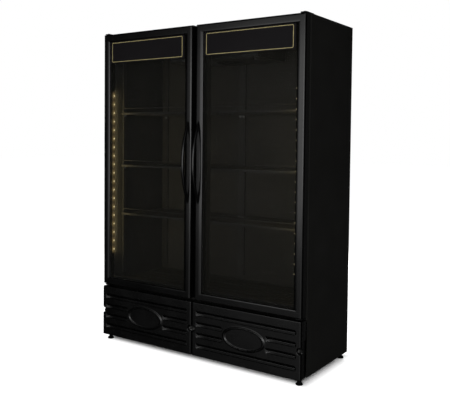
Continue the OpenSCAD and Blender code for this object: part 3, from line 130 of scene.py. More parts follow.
def mesh_of(name, shapes, side=1):
    """A mesh of one or more shapes, each its points in millimetres and its faces, turned outwards.
    side is -1 for the mirror image on the left."""
    points, faces = [], []
    for more, their in shapes:
        faces += [[i + len(points) for i in face] for face in their]
        points += [(x * side * mm, y * mm, z * mm) for x, y, z in more]
    mesh = bpy.data.meshes.new(name)
    mesh.from_pydata(points, [], faces)
    form = bmesh.new()
    form.from_mesh(mesh)
    bmesh.ops.recalc_face_normals(form, faces=form.faces)
    form.to_mesh(mesh)
    form.free()
    return mesh


def settle(name, shape, coat, slot, *nodes, body="cabinet", side=1, sharp=30, edge=0.0, wall=0.0):
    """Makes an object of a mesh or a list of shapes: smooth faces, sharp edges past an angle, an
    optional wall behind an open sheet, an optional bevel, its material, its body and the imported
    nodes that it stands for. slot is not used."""
    mesh = mesh_of(name, shape, side) if isinstance(shape, list) else shape
    piece = new_object(name, mesh)
    mesh.materials.clear()
    mesh.materials.append(coat)
    mesh.shade_smooth()
    mesh.set_sharp_from_angle(angle=radians(sharp))
    if wall:
        back = piece.modifiers.new("wall", "SOLIDIFY")
        back.thickness, back.offset = wall * mm, -1
    if edge:
        bevel = piece.modifiers.new("edge", "BEVEL")
        bevel.width, bevel.segments, bevel.limit_method = edge * mm, 2, "ANGLE"
    piece.modifiers.new("flats", "WEIGHTED_NORMAL").keep_sharp = True
    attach(piece, body)
    if nodes:
        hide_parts(*nodes)


def skin(rows, count, loop=False):
    """Faces between closed rows of count points; loop joins the last row to the first."""
    faces = []
    for j in range(rows if loop else rows - 1):
        on = (j + 1) % rows * count
        faces += [(j * count + k, j * count + (k + 1) % count, on + (k + 1) % count, on + k)
                  for k in range(count)]
    return faces


def capped(rows, count):
    """Faces between closed rows of count points, and one on each end."""
    return skin(rows, count) + [tuple(range(count)), tuple(range((rows - 1) * count, rows * count))]


def prism(section, axis, a, b):
    """A closed outline that runs along an axis from a to b. The outline's two values go to the
    other two axes in their order."""
    n = len(section)
    points = [{0: (v, p, q), 1: (p, v, q), 2: (p, q, v)}[axis] for v in (a, b) for p, q in section]
    return points, skin(2, n) + [tuple(range(n))[::-1], tuple(range(n, 2 * n))]


def block(x0, x1, y0, y1, z0, z1):
    """A rectangular bar between two corners."""
    return prism([(x0, y0), (x1, y0), (x1, y1), (x0, y1)], 2, z0, z1)


def folded(path, radius, sheet, steps=6):
    """Closed outline of a sheet folded along a path of points, with its thickness on the left."""
    path = [Vector(p) for p in path]
    rows = []
    for i, p in enumerate(path):
        to = (p - path[i - 1]).normalized() if i else (path[1] - p).normalized()
        on = (path[i + 1] - p).normalized() if i + 1 < len(path) else to
        turn = atan2(to.x * on.y - to.y * on.x, to.dot(on))
        if abs(turn) < 0.01:
            rows.append((p, p + sheet * Vector((-to.y, to.x))))
            continue
        sign = 1 if turn > 0 else -1
        start = p - to * radius * tan(abs(turn) / 2)
        centre = start + sign * radius * Vector((-to.y, to.x))
        for k in range(steps + 1):
            c, s = cos(turn * k / steps), sin(turn * k / steps)
            arm = start - centre
            arm = Vector((arm.x * c - arm.y * s, arm.x * s + arm.y * c))
            rows.append((centre + arm, centre + arm * (1 - sign * sheet / radius)))
    return [tuple(a) for a, _ in rows] + [tuple(b) for _, b in rows[::-1]]


# A matt, even black with a trace of roller texture: it shows soft light and no clear reflection
black_enamel = finish(
    "rolled_black_enamel", "#181817", "#1c1c1b", 260, (0.36, 0.44), 2.4, 0.02, shine=0.001)
flanged = folded([(FLANGE_X, FRONT), (HALF, FRONT), (HALF, REAR)], FOLD, SHEET)
for side, word in SIDES:
    apron = block(HALF - SHEET, HALF, FRONT, REAR, 38, FLANGE_Z)
    settle(word + "_side_panel_sheet", [prism(flanged, 2, FLANGE_Z, ROOF), apron], black_enamel,
           "black_enamel", word + "_side_panel", side=side)
top = folded([(REAR, ROOF), (FRONT, ROOF), (FRONT, 1956)], FOLD, SHEET)
settle("roof_sheet", [prism(top, 0, -680.6, 680.6)] + [
    block(a, b, -214.6, REAR, ROOF - SHEET, ROOF) for a, b in ((680.6, 723.5), (-723.5, -680.6))],
       black_enamel, "black_enamel", "roof_panel")

# Rear sheet and floor sheet. Plain galvanised steel with a thin dark enamel, screwed to the side
# sheets; the foam that bonds them all is rigid polyurethane, blown in place.


def dress(coat, *nodes):
    """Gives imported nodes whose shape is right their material."""
    for node in nodes:
        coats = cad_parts[node].data.materials
        coats.clear()
        coats.append(coat)


# A thinner, duller and slightly uneven coat than on the sides
rear_enamel = finish(
    "thin_rear_enamel", "#1b1b1a", "#222221", 180, (0.45, 0.6), 1.6, 0.02, shine=0.03)
# Pale yellow, dull and full of fine cells, which are drawn coarser here
foam_cells = finish("rigid_foam", "#cfc493", "#ddd3a8", 40, (0.85, 0.95), 1.2, 0.2, shine=0.2)
dress(rear_enamel, "rear_panel", "deck_panel")
dress(foam_cells, "foam_insulation")

# Liner. Dark vacuum-formed sheet with a fine leather grain; black moulded strips hide the joint of
# liner and flange round the mouth, and the steel post between the bays is enamelled like the body.
# A dull charcoal skin; its leather grain is drawn coarser, and reads as a slight mottle
liner_sheet = finish(
    "dark_formed_liner", "#1c1c1b", "#222221", 200, (0.46, 0.54), 1.2, 0.02, shine=0.02)
# A smoother and darker line round the mouth than the liner beside it
strip_plastic = finish(
    "extruded_black_abs", "#1c1c1c", "#212121", 90, (0.35, 0.45), 0.8, 0.01, shine=0.04)
dress(liner_sheet, "liner_panels")
dress(strip_plastic, "breaker_strips")
post = folded([(-56, -180), (-58, -180), (-58, FRONT), (58, FRONT), (58, -180), (-56, -180)],
              FOLD, -SHEET)
# The outline's first half is the post's outer face, and the second the inner one
settle("centre_post", [prism(post[:len(post) // 2], 2, 418.2, 1947.2)], black_enamel,
       "black_enamel", "centre_mullion")

# Shelf uprights and clips. Slotted channels of black enamelled steel, screwed to the liner and the
# post; bright zinc-plated clips hook into the slots and carry the shelves.
# A little glossier than the liner, so the channels stand out as thin lit lines
upright_enamel = finish(
    "enamelled_slotted_steel", "#161616", "#1b1b1a", 80, (0.4, 0.5), 1.2, 0.01, shine=0.15)
# Small bright bluish-grey points where the clips catch the light
clip_zinc = finish("bright_zinc", "#6f7070", "#858585", 9, (0.35, 0.5), 0.5, 0.01, metal=1.0)
dress(upright_enamel, "shelf_uprights")
dress(clip_zinc, "shelf_clips")

# Shelves and racks. Round steel wires welded on four cross rods under a black epoxy coat, with a
# flat band across the front of each shelf; the racks stand on short legs on the liner's floor.
# A soft sheen that runs along the wires and lifts them off the dark liner
shelf_epoxy = finish(
    "black_epoxy_on_wire", "#181817", "#1f1f1e", 30, (0.34, 0.46), 0.8, 0.01, shine=0.1)
SHELF_X, SHELF_FRONT, SHELF_BACK, RACK_FRONT = (6, 662.8), -165.8, 271.8, -184
SHELF_Z, RACK_Z = {"lower": 830, "middle": 1149, "upper": 1492}, 404
WIRES, WIRE, RODS, ROD = 27, 1.75, 4, 3  # how many in a shelf, and their radii


def tree_for(name, *inputs):
    """A Geometry Nodes tree with named inputs, and the sockets that they give."""
    tree = bpy.data.node_groups.new(name, "GeometryNodeTree")
    for label, kind in (("Geometry", "Geometry"), *inputs, ("Material", "Material")):
        tree.interface.new_socket(label, in_out="INPUT", socket_type="NodeSocket" + kind)
    tree.interface.new_socket("Geometry", in_out="OUTPUT", socket_type="NodeSocketGeometry")
    return tree, add(tree, "NodeGroupInput").outputs


def close_tree(tree, geometry, material):
    """Ends a tree: real geometry with its material."""
    real = add(tree, "GeometryNodeRealizeInstances", {"Geometry": geometry})
    coated = add(tree, "GeometryNodeSetMaterial", {"Geometry": real, "Material": material})
    add(tree, "NodeGroupOutput", {"Geometry": coated})


def grown(tree, start, **values):
    """The plain mesh that a tree makes of a starting mesh."""
    holder = new_object("holder", start)
    modifier = holder.modifiers.new("grow", "NODES")
    modifier.node_group = tree
    for socket in tree.interface.items_tree:
        if socket.in_out == "INPUT" and socket.name in values:
            modifier[socket.identifier] = values[socket.name]
    graph = bpy.context.evaluated_depsgraph_get()
    mesh = bpy.data.meshes.new_from_object(holder.evaluated_get(graph))
    bpy.data.objects.remove(holder)
    return mesh


def joined(name, *meshes):
    """One mesh of several."""
    form = bmesh.new()
    for mesh in meshes:
        form.from_mesh(mesh)
    whole = bpy.data.meshes.new(name)
    form.to_mesh(whole)
    form.free()
    return whole


row_tree, get = tree_for("like_pieces_in_a_row", ("Count", "Int"), ("Step", "Vector"))
spots = add(row_tree, "GeometryNodeMeshLine", {"Count": get["Count"], "Offset": get["Step"]})
copies = add(row_tree, "GeometryNodeInstanceOnPoints",
             {"Points": spots, "Instance": get["Geometry"]})
close_tree(row_tree, copies, get["Material"])


def row(shapes, count, step, coat):
    """A piece repeated along a line. step is in millimetres."""
    return grown(row_tree, mesh_of("piece", shapes), Count=count, Step=[v * mm for v in step],
                 Material=coat)


def turned(profile, centre, axis=2, count=32, loop=False):
    """A shape turned on a lathe: radii and places along an axis through a centre. The profile of a
    loop is closed, and any other ends in two flat faces."""
    points = []
    for r, h in profile:
        for k in range(count):
            a = 2 * pi * k / count
            spot = [r * cos(a), r * sin(a)]
            spot.insert(axis, h)
            points.append(tuple(c + s for c, s in zip(centre, spot)))
    return points, skin(len(profile), count, True) if loop else capped(len(profile), count)


def shelf_wires(word, level, height):
    """The wires, rods and band of a shelf, or the wires, rods and legs of a floor rack."""
    x0, x1 = SHELF_X if word == "right" else (-SHELF_X[1], -SHELF_X[0])
    front = RACK_FRONT if level == "floor" else SHELF_FRONT
    wire = turned([(1.0, front), (WIRE, front + 0.8), (WIRE, SHELF_BACK - 0.8), (1.0, SHELF_BACK)],
                  (x0 + WIRE, 0, height - WIRE), 1, 8)
    rod = turned([(2.2, x0), (ROD, x0 + 0.8), (ROD, x1 - 0.8), (2.2, x1)],
                 (0, front + ROD, height - 5.5), 0, 10)
    if level == "floor":
        last = [turned([(3, 388.2), (3, 398)], (x, y, 0), 2, 10)
                for x in (x0 + 3, x1 - 3) for y in (front + 3, SHELF_BACK - 3)]
    else:
        y0, y1, z0, z1, cut = -167.8, -164.8, height - 8.5, height + 5.5, 0.5
        last = [prism([(y0, z0 + cut), (y0 + cut, z0), (y1 - cut, z0), (y1, z0 + cut),
                       (y1, z1 - cut), (y1 - cut, z1), (y0 + cut, z1), (y0, z1 - cut)], 0, x0, x1)]
    across, along = (x1 - x0 - 2 * WIRE) / (WIRES - 1), (SHELF_BACK - front - 2 * ROD) / (RODS - 1)
    return joined("wires", row([wire], WIRES, (across, 0, 0), shelf_epoxy),
                  row([rod], RODS, (0, along, 0), shelf_epoxy), mesh_of("last", last))


for level, height in (*SHELF_Z.items(), ("floor", RACK_Z)):
    for _, word in SIDES:
        node = f"{word}_floor_rack" if level == "floor" else f"{word}_{level}_shelf"
        settle(node + "_wires", shelf_wires(word, level, height), shelf_epoxy, "wire_steel", node,
               sharp=40)

# Guard rails. One round wire for each shelf, bent down at both ends and welded on the band, with
# the same coat as the shelf.
tube_tree, get = tree_for("round_tubes_along_lines", ("Radius", "Float"), ("Bend", "Float"),
                          ("Sides", "Int"))
line = add(tube_tree, "GeometryNodeMeshToCurve", {"Mesh": get["Geometry"]})
bent = add(tube_tree, "GeometryNodeFilletCurve", {
    "Curve": line, "Count": 6, "Radius": get["Bend"], "Limit Radius": True}, mode="POLY")
circle = add(tube_tree, "GeometryNodeCurvePrimitiveCircle",
             {"Resolution": get["Sides"], "Radius": get["Radius"]})
tube = add(tube_tree, "GeometryNodeCurveToMesh",
           {"Curve": bent, "Profile Curve": circle, "Fill Caps": True})
close_tree(tube_tree, tube, get["Material"])


def tubes(routes, radius, bend, coat, sides=12):
    """Round tubes or wires along routes of points in millimetres, with bent corners."""
    points, edges = [], []
    for route in routes:
        edges += [(len(points) + i, len(points) + i + 1) for i in range(len(route) - 1)]
        points += [[v * mm for v in p] for p in route]
    start = bpy.data.meshes.new("routes")
    start.from_pydata(points, edges, [])
    return grown(tube_tree, start, Radius=radius * mm, Bend=bend * mm, Sides=sides, Material=coat)


rails = [[(s * x, -165.3, z + up) for x, up in ((16, 5.6), (16, 33), (652.8, 33), (652.8, 5.6))]
         for z in SHELF_Z.values() for s in (1, -1)]
settle("guard_wires", tubes(rails, 2.5, 16, shelf_epoxy), shelf_epoxy, "wire_steel",
       "shelf_guards", sharp=60)

# Evaporator. A housing of dark enamelled sheet hangs under the ceiling: a finned coil behind the
# slots in its front, and a fan that draws air up through a wire guard in its floor.
# A cool near-black sheet that is a shade greyer than the liner
housing_grey = finish(
    "dark_housing_enamel", "#1a1b1b", "#202121", 120, (0.4, 0.5), 1.2, 0.015, shine=0.15)
# Pale bare metal; the fins are drawn some three times as far apart as real ones
fin_aluminium = finish(
    "rolled_fin_aluminium", "#8f9293", "#a2a5a6", 25, (0.3, 0.45), 0.6, 0.01, metal=1.0)
# The rough, dull black of a painted casting
motor_black = finish(
    "cast_motor_black", "#191919", "#1f1f1f", 30, (0.45, 0.6), 0.9, 0.03, shine=0.25)
# Smooth black blades with a broad, weak highlight
fan_plastic = finish(
    "moulded_fan_plastic", "#151515", "#1b1b1b", 40, (0.35, 0.45), 0.7, 0.01, shine=0.25)
# The warm tone of bare copper, with a soft highlight along each tube
copper = finish("drawn_copper", "#a8683c", "#b67446", 35, (0.28, 0.42), 0.8, 0.01, metal=1.0)
FAN_Y, GUARD_Z = 130, 1811.6  # the fan's axle, and the guard's wires
dress(housing_grey, "evaporator_cover")
slat = prism([(-84.2, 1860), (-83.6, 1860), (-76.5, 1852), (-77.1, 1852)], 0, -299, 299)
settle("housing_slats", row([slat], 5, (0, 0, 14), housing_grey), housing_grey, "housing_grey")
bead = ((0.9, 0.8), (1.4, 0), (0.9, -0.8), (0, -1), (-0.9, -0.8), (-1.4, 0), (-0.9, 0.8), (0, 1))
rings = [turned([(r + out, GUARD_Z + up) for out, up in bead], (0, FAN_Y, 0), 2, 40, loop=True)
         for r in (22, 42, 62, 82)]
spokes = [[(cos(a) * r, FAN_Y + sin(a) * r, z)
           for r, z in ((20, GUARD_Z), (91, GUARD_Z), (91, GUARD_Z + 2))]
          for a in [radians(45 + 90 * k) for k in range(4)]]
settle("fan_guard", joined("guard", mesh_of("rings", rings), tubes(spokes, 1.4, 3, shelf_epoxy, 8)),
       shelf_epoxy, "wire_steel", sharp=60)


def finned(first, count, pitch, fin, ends, end, coat):
    """The fins of a coil from a first place along X, and its two end plates. fin and end hold the
    sizes of either as y0, y1, z0, z1."""
    plates = [block(x - 1, x + 1, *end) for x in ends]
    fins = row([block(first, first + 0.3, *fin)], count, (pitch, 0, 0), coat)
    return joined("fins", fins, mesh_of("plates", plates))


coil = finned(-279, 94, 6, (-70, 0, 1824, 1917), (-280, 280), (-70, 0, 1815.8, 1917.8),
              fin_aluminium)
settle("evaporator_fins", coil, fin_aluminium, "fin_aluminium", "evaporator_coil")
hairpins = [[(281, y, z), (-281, y, z)] for y in (-52, -18) for z in (1834, 1858, 1882, 1906)]
bends = [[(s * 281, -52, z), (s * 296, -52, z), (s * 296, -18, z), (s * 281, -18, z)]
         for s, z in ((1, 1834), (-1, 1858), (1, 1882), (-1, 1906))]
settle("evaporator_tubes", tubes(hairpins + bends, 4.5, 12, copper), copper, "copper", sharp=60)


def fan_shape(radius, hub, deep, turn, blades=5):
    """Twisted blades on a hub, built along +Z from 0; turn is the blade's angle at its tip in
    degrees. Each blade has two faces of n rows from hub to tip with m points, and a rim."""
    shapes = [turned([(hub - 4, 0), (hub - 1, 1), (hub, 3.5), (hub, deep - 1.5), (hub - 1.5, deep)],
                     (0, 0, 0))]
    n, m = 7, 9
    rim = list(range(m)) + [i * m + m - 1 for i in range(1, n)] \
        + [(n - 1) * m + j for j in range(m - 2, -1, -1)] + [i * m for i in range(n - 2, 0, -1)]
    for b in range(blades):
        points = []
        for face in (0.63, -0.63):
            for i in range(n):
                s = i / (n - 1)
                r = hub - 2 + (radius - hub + 2) * s
                lean = radians(turn + 22 * (1 - s))
                # The blade widens from the hub outwards and is rounded off at its tip
                chord = (0.30 + 0.22 * sin(pi * min(s + 0.25, 1) * 0.5)) * radius \
                    * (1 - 0.35 * s ** 6)
                for j in range(m):
                    t = j / (m - 1) - 0.5
                    run = t * chord * cos(lean)
                    rise = min(deep * 0.46, abs(t * chord * sin(lean))) * copysign(1, t)
                    a = 2 * pi * b / blades + run / max(r, 26) + 0.10 * s
                    bulge = 2.2 * (0.25 - t * t)
                    points.append((r * cos(a), r * sin(a), deep / 2 + rise + bulge + face))
        corners = [f * n * m + i * m + j for f in (0, 1) for i in range(n - 1)
                   for j in range(m - 1)]
        faces = [(k, k + 1, k + m + 1, k + m) for k in corners]
        faces += [(k, on, on + n * m, k + n * m) for k, on in zip(rim, rim[1:] + rim[:1])]
        shapes.append((points, faces))
    return shapes


def moved(shapes, centre, to_back=False):
    """Shapes built along +Z, put at a centre; to_back turns them along +Y."""
    cx, cy, cz = centre
    return [([(cx + x, cy + z, cz - y) if to_back else (cx + x, cy + y, cz + z)
              for x, y, z in points], faces) for points, faces in shapes]


fan = fan_shape(82, 20, 24, 24) + [turned([(3, 23), (3, 52)], (0, 0, 0), 2, 16)]
settle("evaporator_fan_blades", moved(fan, (0, FAN_Y, 1819.6)), fan_plastic, "fan_plastic",
       "evaporator_fan", body="evaporator_fan", sharp=50)


def motor_shape(radius, high, strap, leg):
    """A small fan motor: a ribbed can on a strap with two legs."""
    can = [(3.05, 0), (radius - 3, 0), (radius, 3), (radius, high * 0.36),
           (radius - 2.5, high * 0.4), (radius - 2.5, high * 0.6), (radius, high * 0.64),
           (radius, high - 3), (radius - 3, high), (3.05, high)]
    legs = folded([(-strap / 2, -leg), (-strap / 2, 2), (strap / 2, 2), (strap / 2, -leg)], 4, -2)
    rib, faces = block(-0.8, 0.8, -1, radius - 0.4, high * 0.4, high * 0.6)
    ribs = []
    for a in [radians(k * 22.5) for k in range(16)]:
        c, s = cos(a), sin(a)
        ribs.append(([(x * c - y * s, x * s + y * c, z) for x, y, z in rib], faces))
    return [turned(can, (0, 0, 0))] + ribs + [prism(legs, 1, -12, 12)]


settle("evaporator_motor", moved(motor_shape(28, 42, 196, 35.8), (0, FAN_Y, 1851.6)), motor_black,
       "motor_black", "evaporator_fan_motor", sharp=40)

# Thermostat. A fluted knob in dark grey ABS hangs under the housing's floor, and a white pointer is
# printed on its face.
# A dark grey knob that is easy to tell from its housing
dial_grey = finish("dark_grey_dial_abs", "#242424", "#2b2b2b", 20, (0.3, 0.4), 0.8, 0.01, shine=0.1)
# One clear light mark that shows how far the knob is turned
pointer_white = finish("pointer_print", "#cfcec9", "#d8d7d2", 5, (0.4, 0.5), 0.5, 0.005)
DIAL = (301, -57, 0)
flutes = []
for a in [radians(k * 3) for k in range(120)]:
    r = 16.6 - 0.7 * cos(a * 20)
    flutes.append((DIAL[0] + r * cos(a), DIAL[1] + r * sin(a)))
knob = [prism(flutes, 2, 1802, 1812.5),
        turned([(13, 1799.7), (15.2, 1800.2), (15.9, 1802.1)], DIAL),
        turned([(16.8, 1812), (17, 1812.6), (17, 1813.4), (16.5, 1813.7)], DIAL),
        turned([(3, 1813), (3, 1827)], DIAL, 2, 16)]
settle("thermostat_knob", knob, dial_grey, "dial_white", "thermostat_dial", body="thermostat_dial",
       sharp=35)
settle("thermostat_pointer", [block(300.2, 301.8, -72, -60, 1799.4, 1799.9)], pointer_white,
       "dial_white", body="thermostat_dial")

# Machine compartment. A pressed steel base under enamel carries a hermetic compressor on rubber
# bushes, a finned condenser with its fan, a melt-water tray and the box with the electrical parts.
# A rough black coat over pressed steel, with the press marks as a slow mottle
base_enamel = finish(
    "pressed_base_enamel", "#1a1a19", "#20201f", 90, (0.45, 0.6), 1.4, 0.02, shine=0.15)
# A mid grey that parts the tray from the black base
tray_plastic = finish("grey_tray_plastic", "#363634", "#3d3d3b", 70, (0.45, 0.55), 1, 0.01)
# Dull metal with the patches of hot-dip zinc
box_zinc = finish("galvanised_box", "#5f6161", "#757777", 14, (0.4, 0.55), 1.5, 0.01, metal=1.0)
# An even, slightly shiny off-white
drain_pvc = finish("white_pvc_tube", "#d8d8d3", "#dfdfda", 60, (0.35, 0.45), 1, 0.01)
PUMP_X, PUMP_Y, PORT_Z = -479, 104, 148.2  # the compressor's middle, and its ports' height
COIL_FAN = (323, 186.2)  # x and z of the condenser fan's axle
dress(base_enamel, "base_frame", "fan_shroud")
dress(tray_plastic, "condensate_tray")
dress(box_zinc, "control_box")
shell = [(50, 82.2), (60, 83), (68, 87.5), (72.5, 95), (75, 107), (75, 176.5), (78.6, 177.4),
         (79, 178.4), (79, 184), (78.4, 185.2), (75, 186), (75, 224), (73.6, 234), (69, 246),
         (61, 256.5), (48, 264.5), (32, 269.8), (14, 272), (4, 272.2)]
bush = [(10, 68.2), (10, 71), (8, 72.5), (8, 75), (10, 76.5), (10, 80)]
pump = [turned(shell, (PUMP_X, PUMP_Y, 0), 2, 48), block(-574, -384, 51.5, 156.5, 79.2, 82.7),
        block(-509, -449, 3, 43, 128.2, 198.2)]
pump += [turned(bush, (PUMP_X + x, PUMP_Y + y, 0)) for x in (81, -81) for y in (41.25, -41.25)]
pump += [turned([(6.5, -412), (6.5, -390)], (0, PUMP_Y + s * 24, PORT_Z), 0, 20) for s in (1, -1)]
settle("compressor_shell", pump, motor_black, "motor_black", "compressor", sharp=35, edge=1.2)
coil = finned(124, 80, 5, (-197, -139, 74.2, 298.2), (123, 523), (-198, -138, 68.2, 304.2),
              base_enamel)
settle("condenser_fins", coil, base_enamel, "black_enamel", "condenser_coil")
bends = [[(x, -168, COIL_FAN[1] + (i - 1.5) * 48 + up)
          for x, up in ((523, -12), (112, -12), (112, 12), (523, 12))] for i in range(4)]
settle("condenser_tubes", tubes(bends, 4, 11, copper), copper, "copper", sharp=60)
fan = fan_shape(88, 20, 26, 26) + [turned([(3, 25), (3, 60)], (0, 0, 0), 2, 16)]
settle("condenser_fan_blades", moved(fan, (COIL_FAN[0], -134.8, COIL_FAN[1]), True), fan_plastic,
       "fan_plastic", "condenser_fan", body="condenser_fan", sharp=50)
motor = motor_shape(34, 52, 215, 35.2)
settle("condenser_motor", moved(motor, (COIL_FAN[0], -100.8, COIL_FAN[1]), True), motor_black,
       "motor_black", "condenser_fan_motor", sharp=40)
lines = [[(-389.7, 80, PORT_Z), (-330, 80, PORT_Z), (-330, -168, PORT_Z), (-330, -168, 284.2),
          (121.7, -168, 284.2)],
         [(-389.7, 128, PORT_Z), (-145, 128, PORT_Z), (-145, 128, 321), (-145, 314, 321),
          (-145, 314, 1928), (-145, 20, 1928)],
         [(121.7, -168, 88), (93, -168, 88), (93, 152, 88), (-165, 152, 88), (-165, 152, 301),
          (-165, 314, 301), (-165, 314, 1906), (-165, 20, 1906)]]
settle("copper_lines", tubes(lines, 5, 14, copper, 16), copper, "copper", "refrigerant_pipes",
       sharp=60)
drain = [(-257, 252.4, 1826.6), (-257, 314, 1826.6), (-257, 314, 118)]
settle("drain_line", tubes([drain], 8, 16, drain_pvc, 20), drain_pvc, "drain_plastic",
       "drain_tube", sharp=60)

# Rear grille. Enamelled sheet with rows of pressed air slots, screwed to the base and the rear
# panel, and a plastic gland where the supply cable would enter.
# Deep black with a small sharp highlight on its ribs
gland_plastic = finish(
    "black_gland_nylon", "#0d0d0d", "#131313", 15, (0.35, 0.5), 0.6, 0.01, shine=0.25)
# Grey heads that catch the light as single points on the black sheets
screw_steel = finish("dull_screw_steel", "#323231", "#3d3d3c", 4, (0.35, 0.5), 0.4, 0.01, metal=0.6)
SLOT_WIDE, HEAD_TOP = 0.9, 0.62  # width of a head's slots, and its top radius against its lower one
dress(rear_enamel, "rear_grille")
dress(gland_plastic, "cable_gland")
screw_tree, get = tree_for("cross_head_screws", ("Radius", "Float"), ("Height", "Float"),
                           ("Turn", "Vector"))
top = add(screw_tree, "Math", {0: get["Radius"], 1: HEAD_TOP}, operation="MULTIPLY")
head = add(screw_tree, "GeometryNodeMeshCone", {
    "Vertices": 20, "Side Segments": 1, "Radius Top": top, "Radius Bottom": get["Radius"],
    "Depth": get["Height"]})
cut = add(screw_tree, "GeometryNodeMeshBoolean", {"Mesh 1": head}, operation="DIFFERENCE",
          solver="EXACT")
up = add(screw_tree, "CombineXYZ", {"Z": get["Height"]})
for long, short in ("XY", "YX"):
    size = add(screw_tree, "CombineXYZ",
               {long: get["Radius"], short: SLOT_WIDE * mm, "Z": get["Height"]})
    bar = add(screw_tree, "GeometryNodeMeshCube", {"Size": size})
    bar = add(screw_tree, "GeometryNodeTransform", {"Geometry": bar, "Translation": up})
    screw_tree.links.new(bar.outputs[0], cut.inputs["Mesh 2"])
heads = add(screw_tree, "GeometryNodeInstanceOnPoints", {
    "Points": get["Geometry"], "Instance": cut, "Rotation": get["Turn"]})
close_tree(screw_tree, heads, get["Material"])


def screws(name, spots, radius, height, turn, *nodes):
    """Cross-head screws at places in millimetres; turn tilts them about X from straight up."""
    start = bpy.data.meshes.new(name)
    start.from_pydata([[v * mm for v in p] for p in spots], [], [])
    mesh = grown(screw_tree, start, Radius=radius * mm, Height=height * mm,
                 Turn=(radians(turn), 0, 0), Material=screw_steel)
    settle(name, mesh, screw_steel, "screw_steel", *nodes, sharp=40)


rim = [(x, z) for x in (-712, 712) for z in range(400, 1980, 260)]
rim += [(x, z) for z in (1985, 362) for x in range(-560, 561, 280)]
rim += [(x, z) for x in (-712, -475, -285, -95, 95, 285, 475, 712) for z in (54, 332)]
screws("rear_screws", [(x, REAR + 0.05, z) for x, z in rim], 4.5, 1.6, -90)
kick_spots = [(x, -270.5, 197) for x in (-704, -14, 14, 708)]
screws("kick_screw_heads", kick_spots, 9, 7, 90, "kick_screws")

# Kick panels. Each is one moulded shell in black ABS with a fine spark-eroded grain: air slots over
# sloping troughs that run in from a soft scoop, an oval boss with a rolled rim and two screw cups.
# Nearly all it shows is its weak sheen, which draws each trough and rim as a soft light line
kick_abs = finish(
    "moulded_black_abs", "#020202", "#040404", 120, (0.25, 0.3), 0.9, 0.01, shine=0.22)
KICK_X, KICK_Y, LOW, LID = (3, 722), (-280, -217), 38, 353  # LID is where its round edge starts
INNER, OUTER, ROLL, WALL = 8, 9, 4, 2.4  # radii of the panel's edges, and its wall
# Left end, right end and upper edge of each trough; the slot under that edge opens to the inside
TROUGHS = [(26, 692, 308), (26, 219.5, 243), (498, 692, 243), (26, 219.5, 178), (498, 692, 178),
           (26, 692, 113)]
TROUGH, SLOT, CORNER = 29, 14.5, 12  # heights, and the radius of the right end
OVAL_X, OVAL_Z, OVAL_W, OVAL_H = 362.5, 197.5, 286, 138
CUP_X, CUP_Z, CUP_R, CUP_DEEP = (10, 715), 197, 20, 13


def ease(t):
    """A smooth step from 0 to 1."""
    t = min(max(t, 0.0), 1.0)
    return t * t * (3 - 2 * t)


def trough_edge(x, u, a, b):
    """How far inside a trough's outline a place is. The outline has round corners at the right end
    and a half circle at the tip of the scoop; u is the distance below its upper edge."""
    off = abs(u - TROUGH / 2)
    edge = TROUGH / 2 - off
    dx, dz = x - (b - CORNER), off - (TROUGH / 2 - CORNER)
    if dx > 0:
        edge = CORNER - hypot(dx, max(dz, 0)) if dz > 0 else min(edge, CORNER - dx)
    if x < a + TROUGH / 2:
        edge = TROUGH / 2 - hypot(x - a - TROUGH / 2, off)
    return edge


def in_slot(x, z):
    """Whether a place is open: an air slot runs along a trough's upper edge and round its right
    end, and each screw cup opens upwards."""
    for a, b, top in TROUGHS:
        u = top - z
        if a < x < b and 0 < u < TROUGH:
            edge = trough_edge(x, u, a, b)
            round_end = edge < 9.5 and x > b - CORNER and u < TROUGH - 3
            if 0 < edge and (u < SLOT * ease((x - a - 2) / 16) or round_end):
                return True
    return any(z > CUP_Z + 3 and hypot(x - x0, z - CUP_Z) < 15 for x0 in CUP_X)


def kick_relief(x, z):
    """How deep the panel's face lies behind its plane, and less than nothing where it is proud."""
    depth = 0.0
    for a, b, top in TROUGHS:
        u = top - z
        if not (a < x < b and 0 < u < TROUGH):
            continue
        edge = trough_edge(x, u, a, b)
        # A spoon-shaped scoop that grows into the nearly level floor, which dips towards the end
        scoop = ease((x - a) / 36)
        floor = 10 - 3 * (1 - ease((x - a - 20) / 40)) * u / TROUGH + 2 * ease((x - b + 15) / 12)
        depth = max(depth, floor * scoop * min(1, max(edge, 0) / (1.2 + 7 * (1 - scoop))))
    r = hypot((x - OVAL_X) / (OVAL_W / 2), (z - OVAL_Z) / (OVAL_H / 2))
    if r < 1:
        # Distance inside the oval's edge, as it is across its short way; the rim stands 5.4 mm
        # proud, and the field inside it falls back by 4.9 mm
        inside = (1 - r) * OVAL_H / 2 * (1 + 0.35 * abs(x - OVAL_X) / (OVAL_W / 2))
        depth = depth * (1 - ease(inside / 3)) - 5.4 * ease(inside / 8) \
            + 4.9 * ease((inside - 8.5) / 6)
    for x0 in CUP_X:
        reach = CUP_R - hypot(x - x0, z - CUP_Z)
        if reach > 0:
            depth = max(depth, CUP_DEEP * sin(min(1, reach / 11) * pi / 2))
    return depth


def steps(stops):
    """Values from stop to stop, each stretch with its own step."""
    values = [stops[0][0]]
    for (a, step), (b, _) in zip(stops, stops[1:]):
        n = max(1, round((b - a) / step))
        values += [a + (b - a) * k / n for k in range(1, n + 1)]
    return values


def hood(a, b, y, high, low):
    """A sheet that slopes back and down behind an opening: a dark sheet put there as painted shade,
    so the opening shows dark where the room would show through it.
    """
    return [(a, y, high), (b, y, high), (b, -255, low), (a, -255, low)], [(0, 1, 2, 3)]


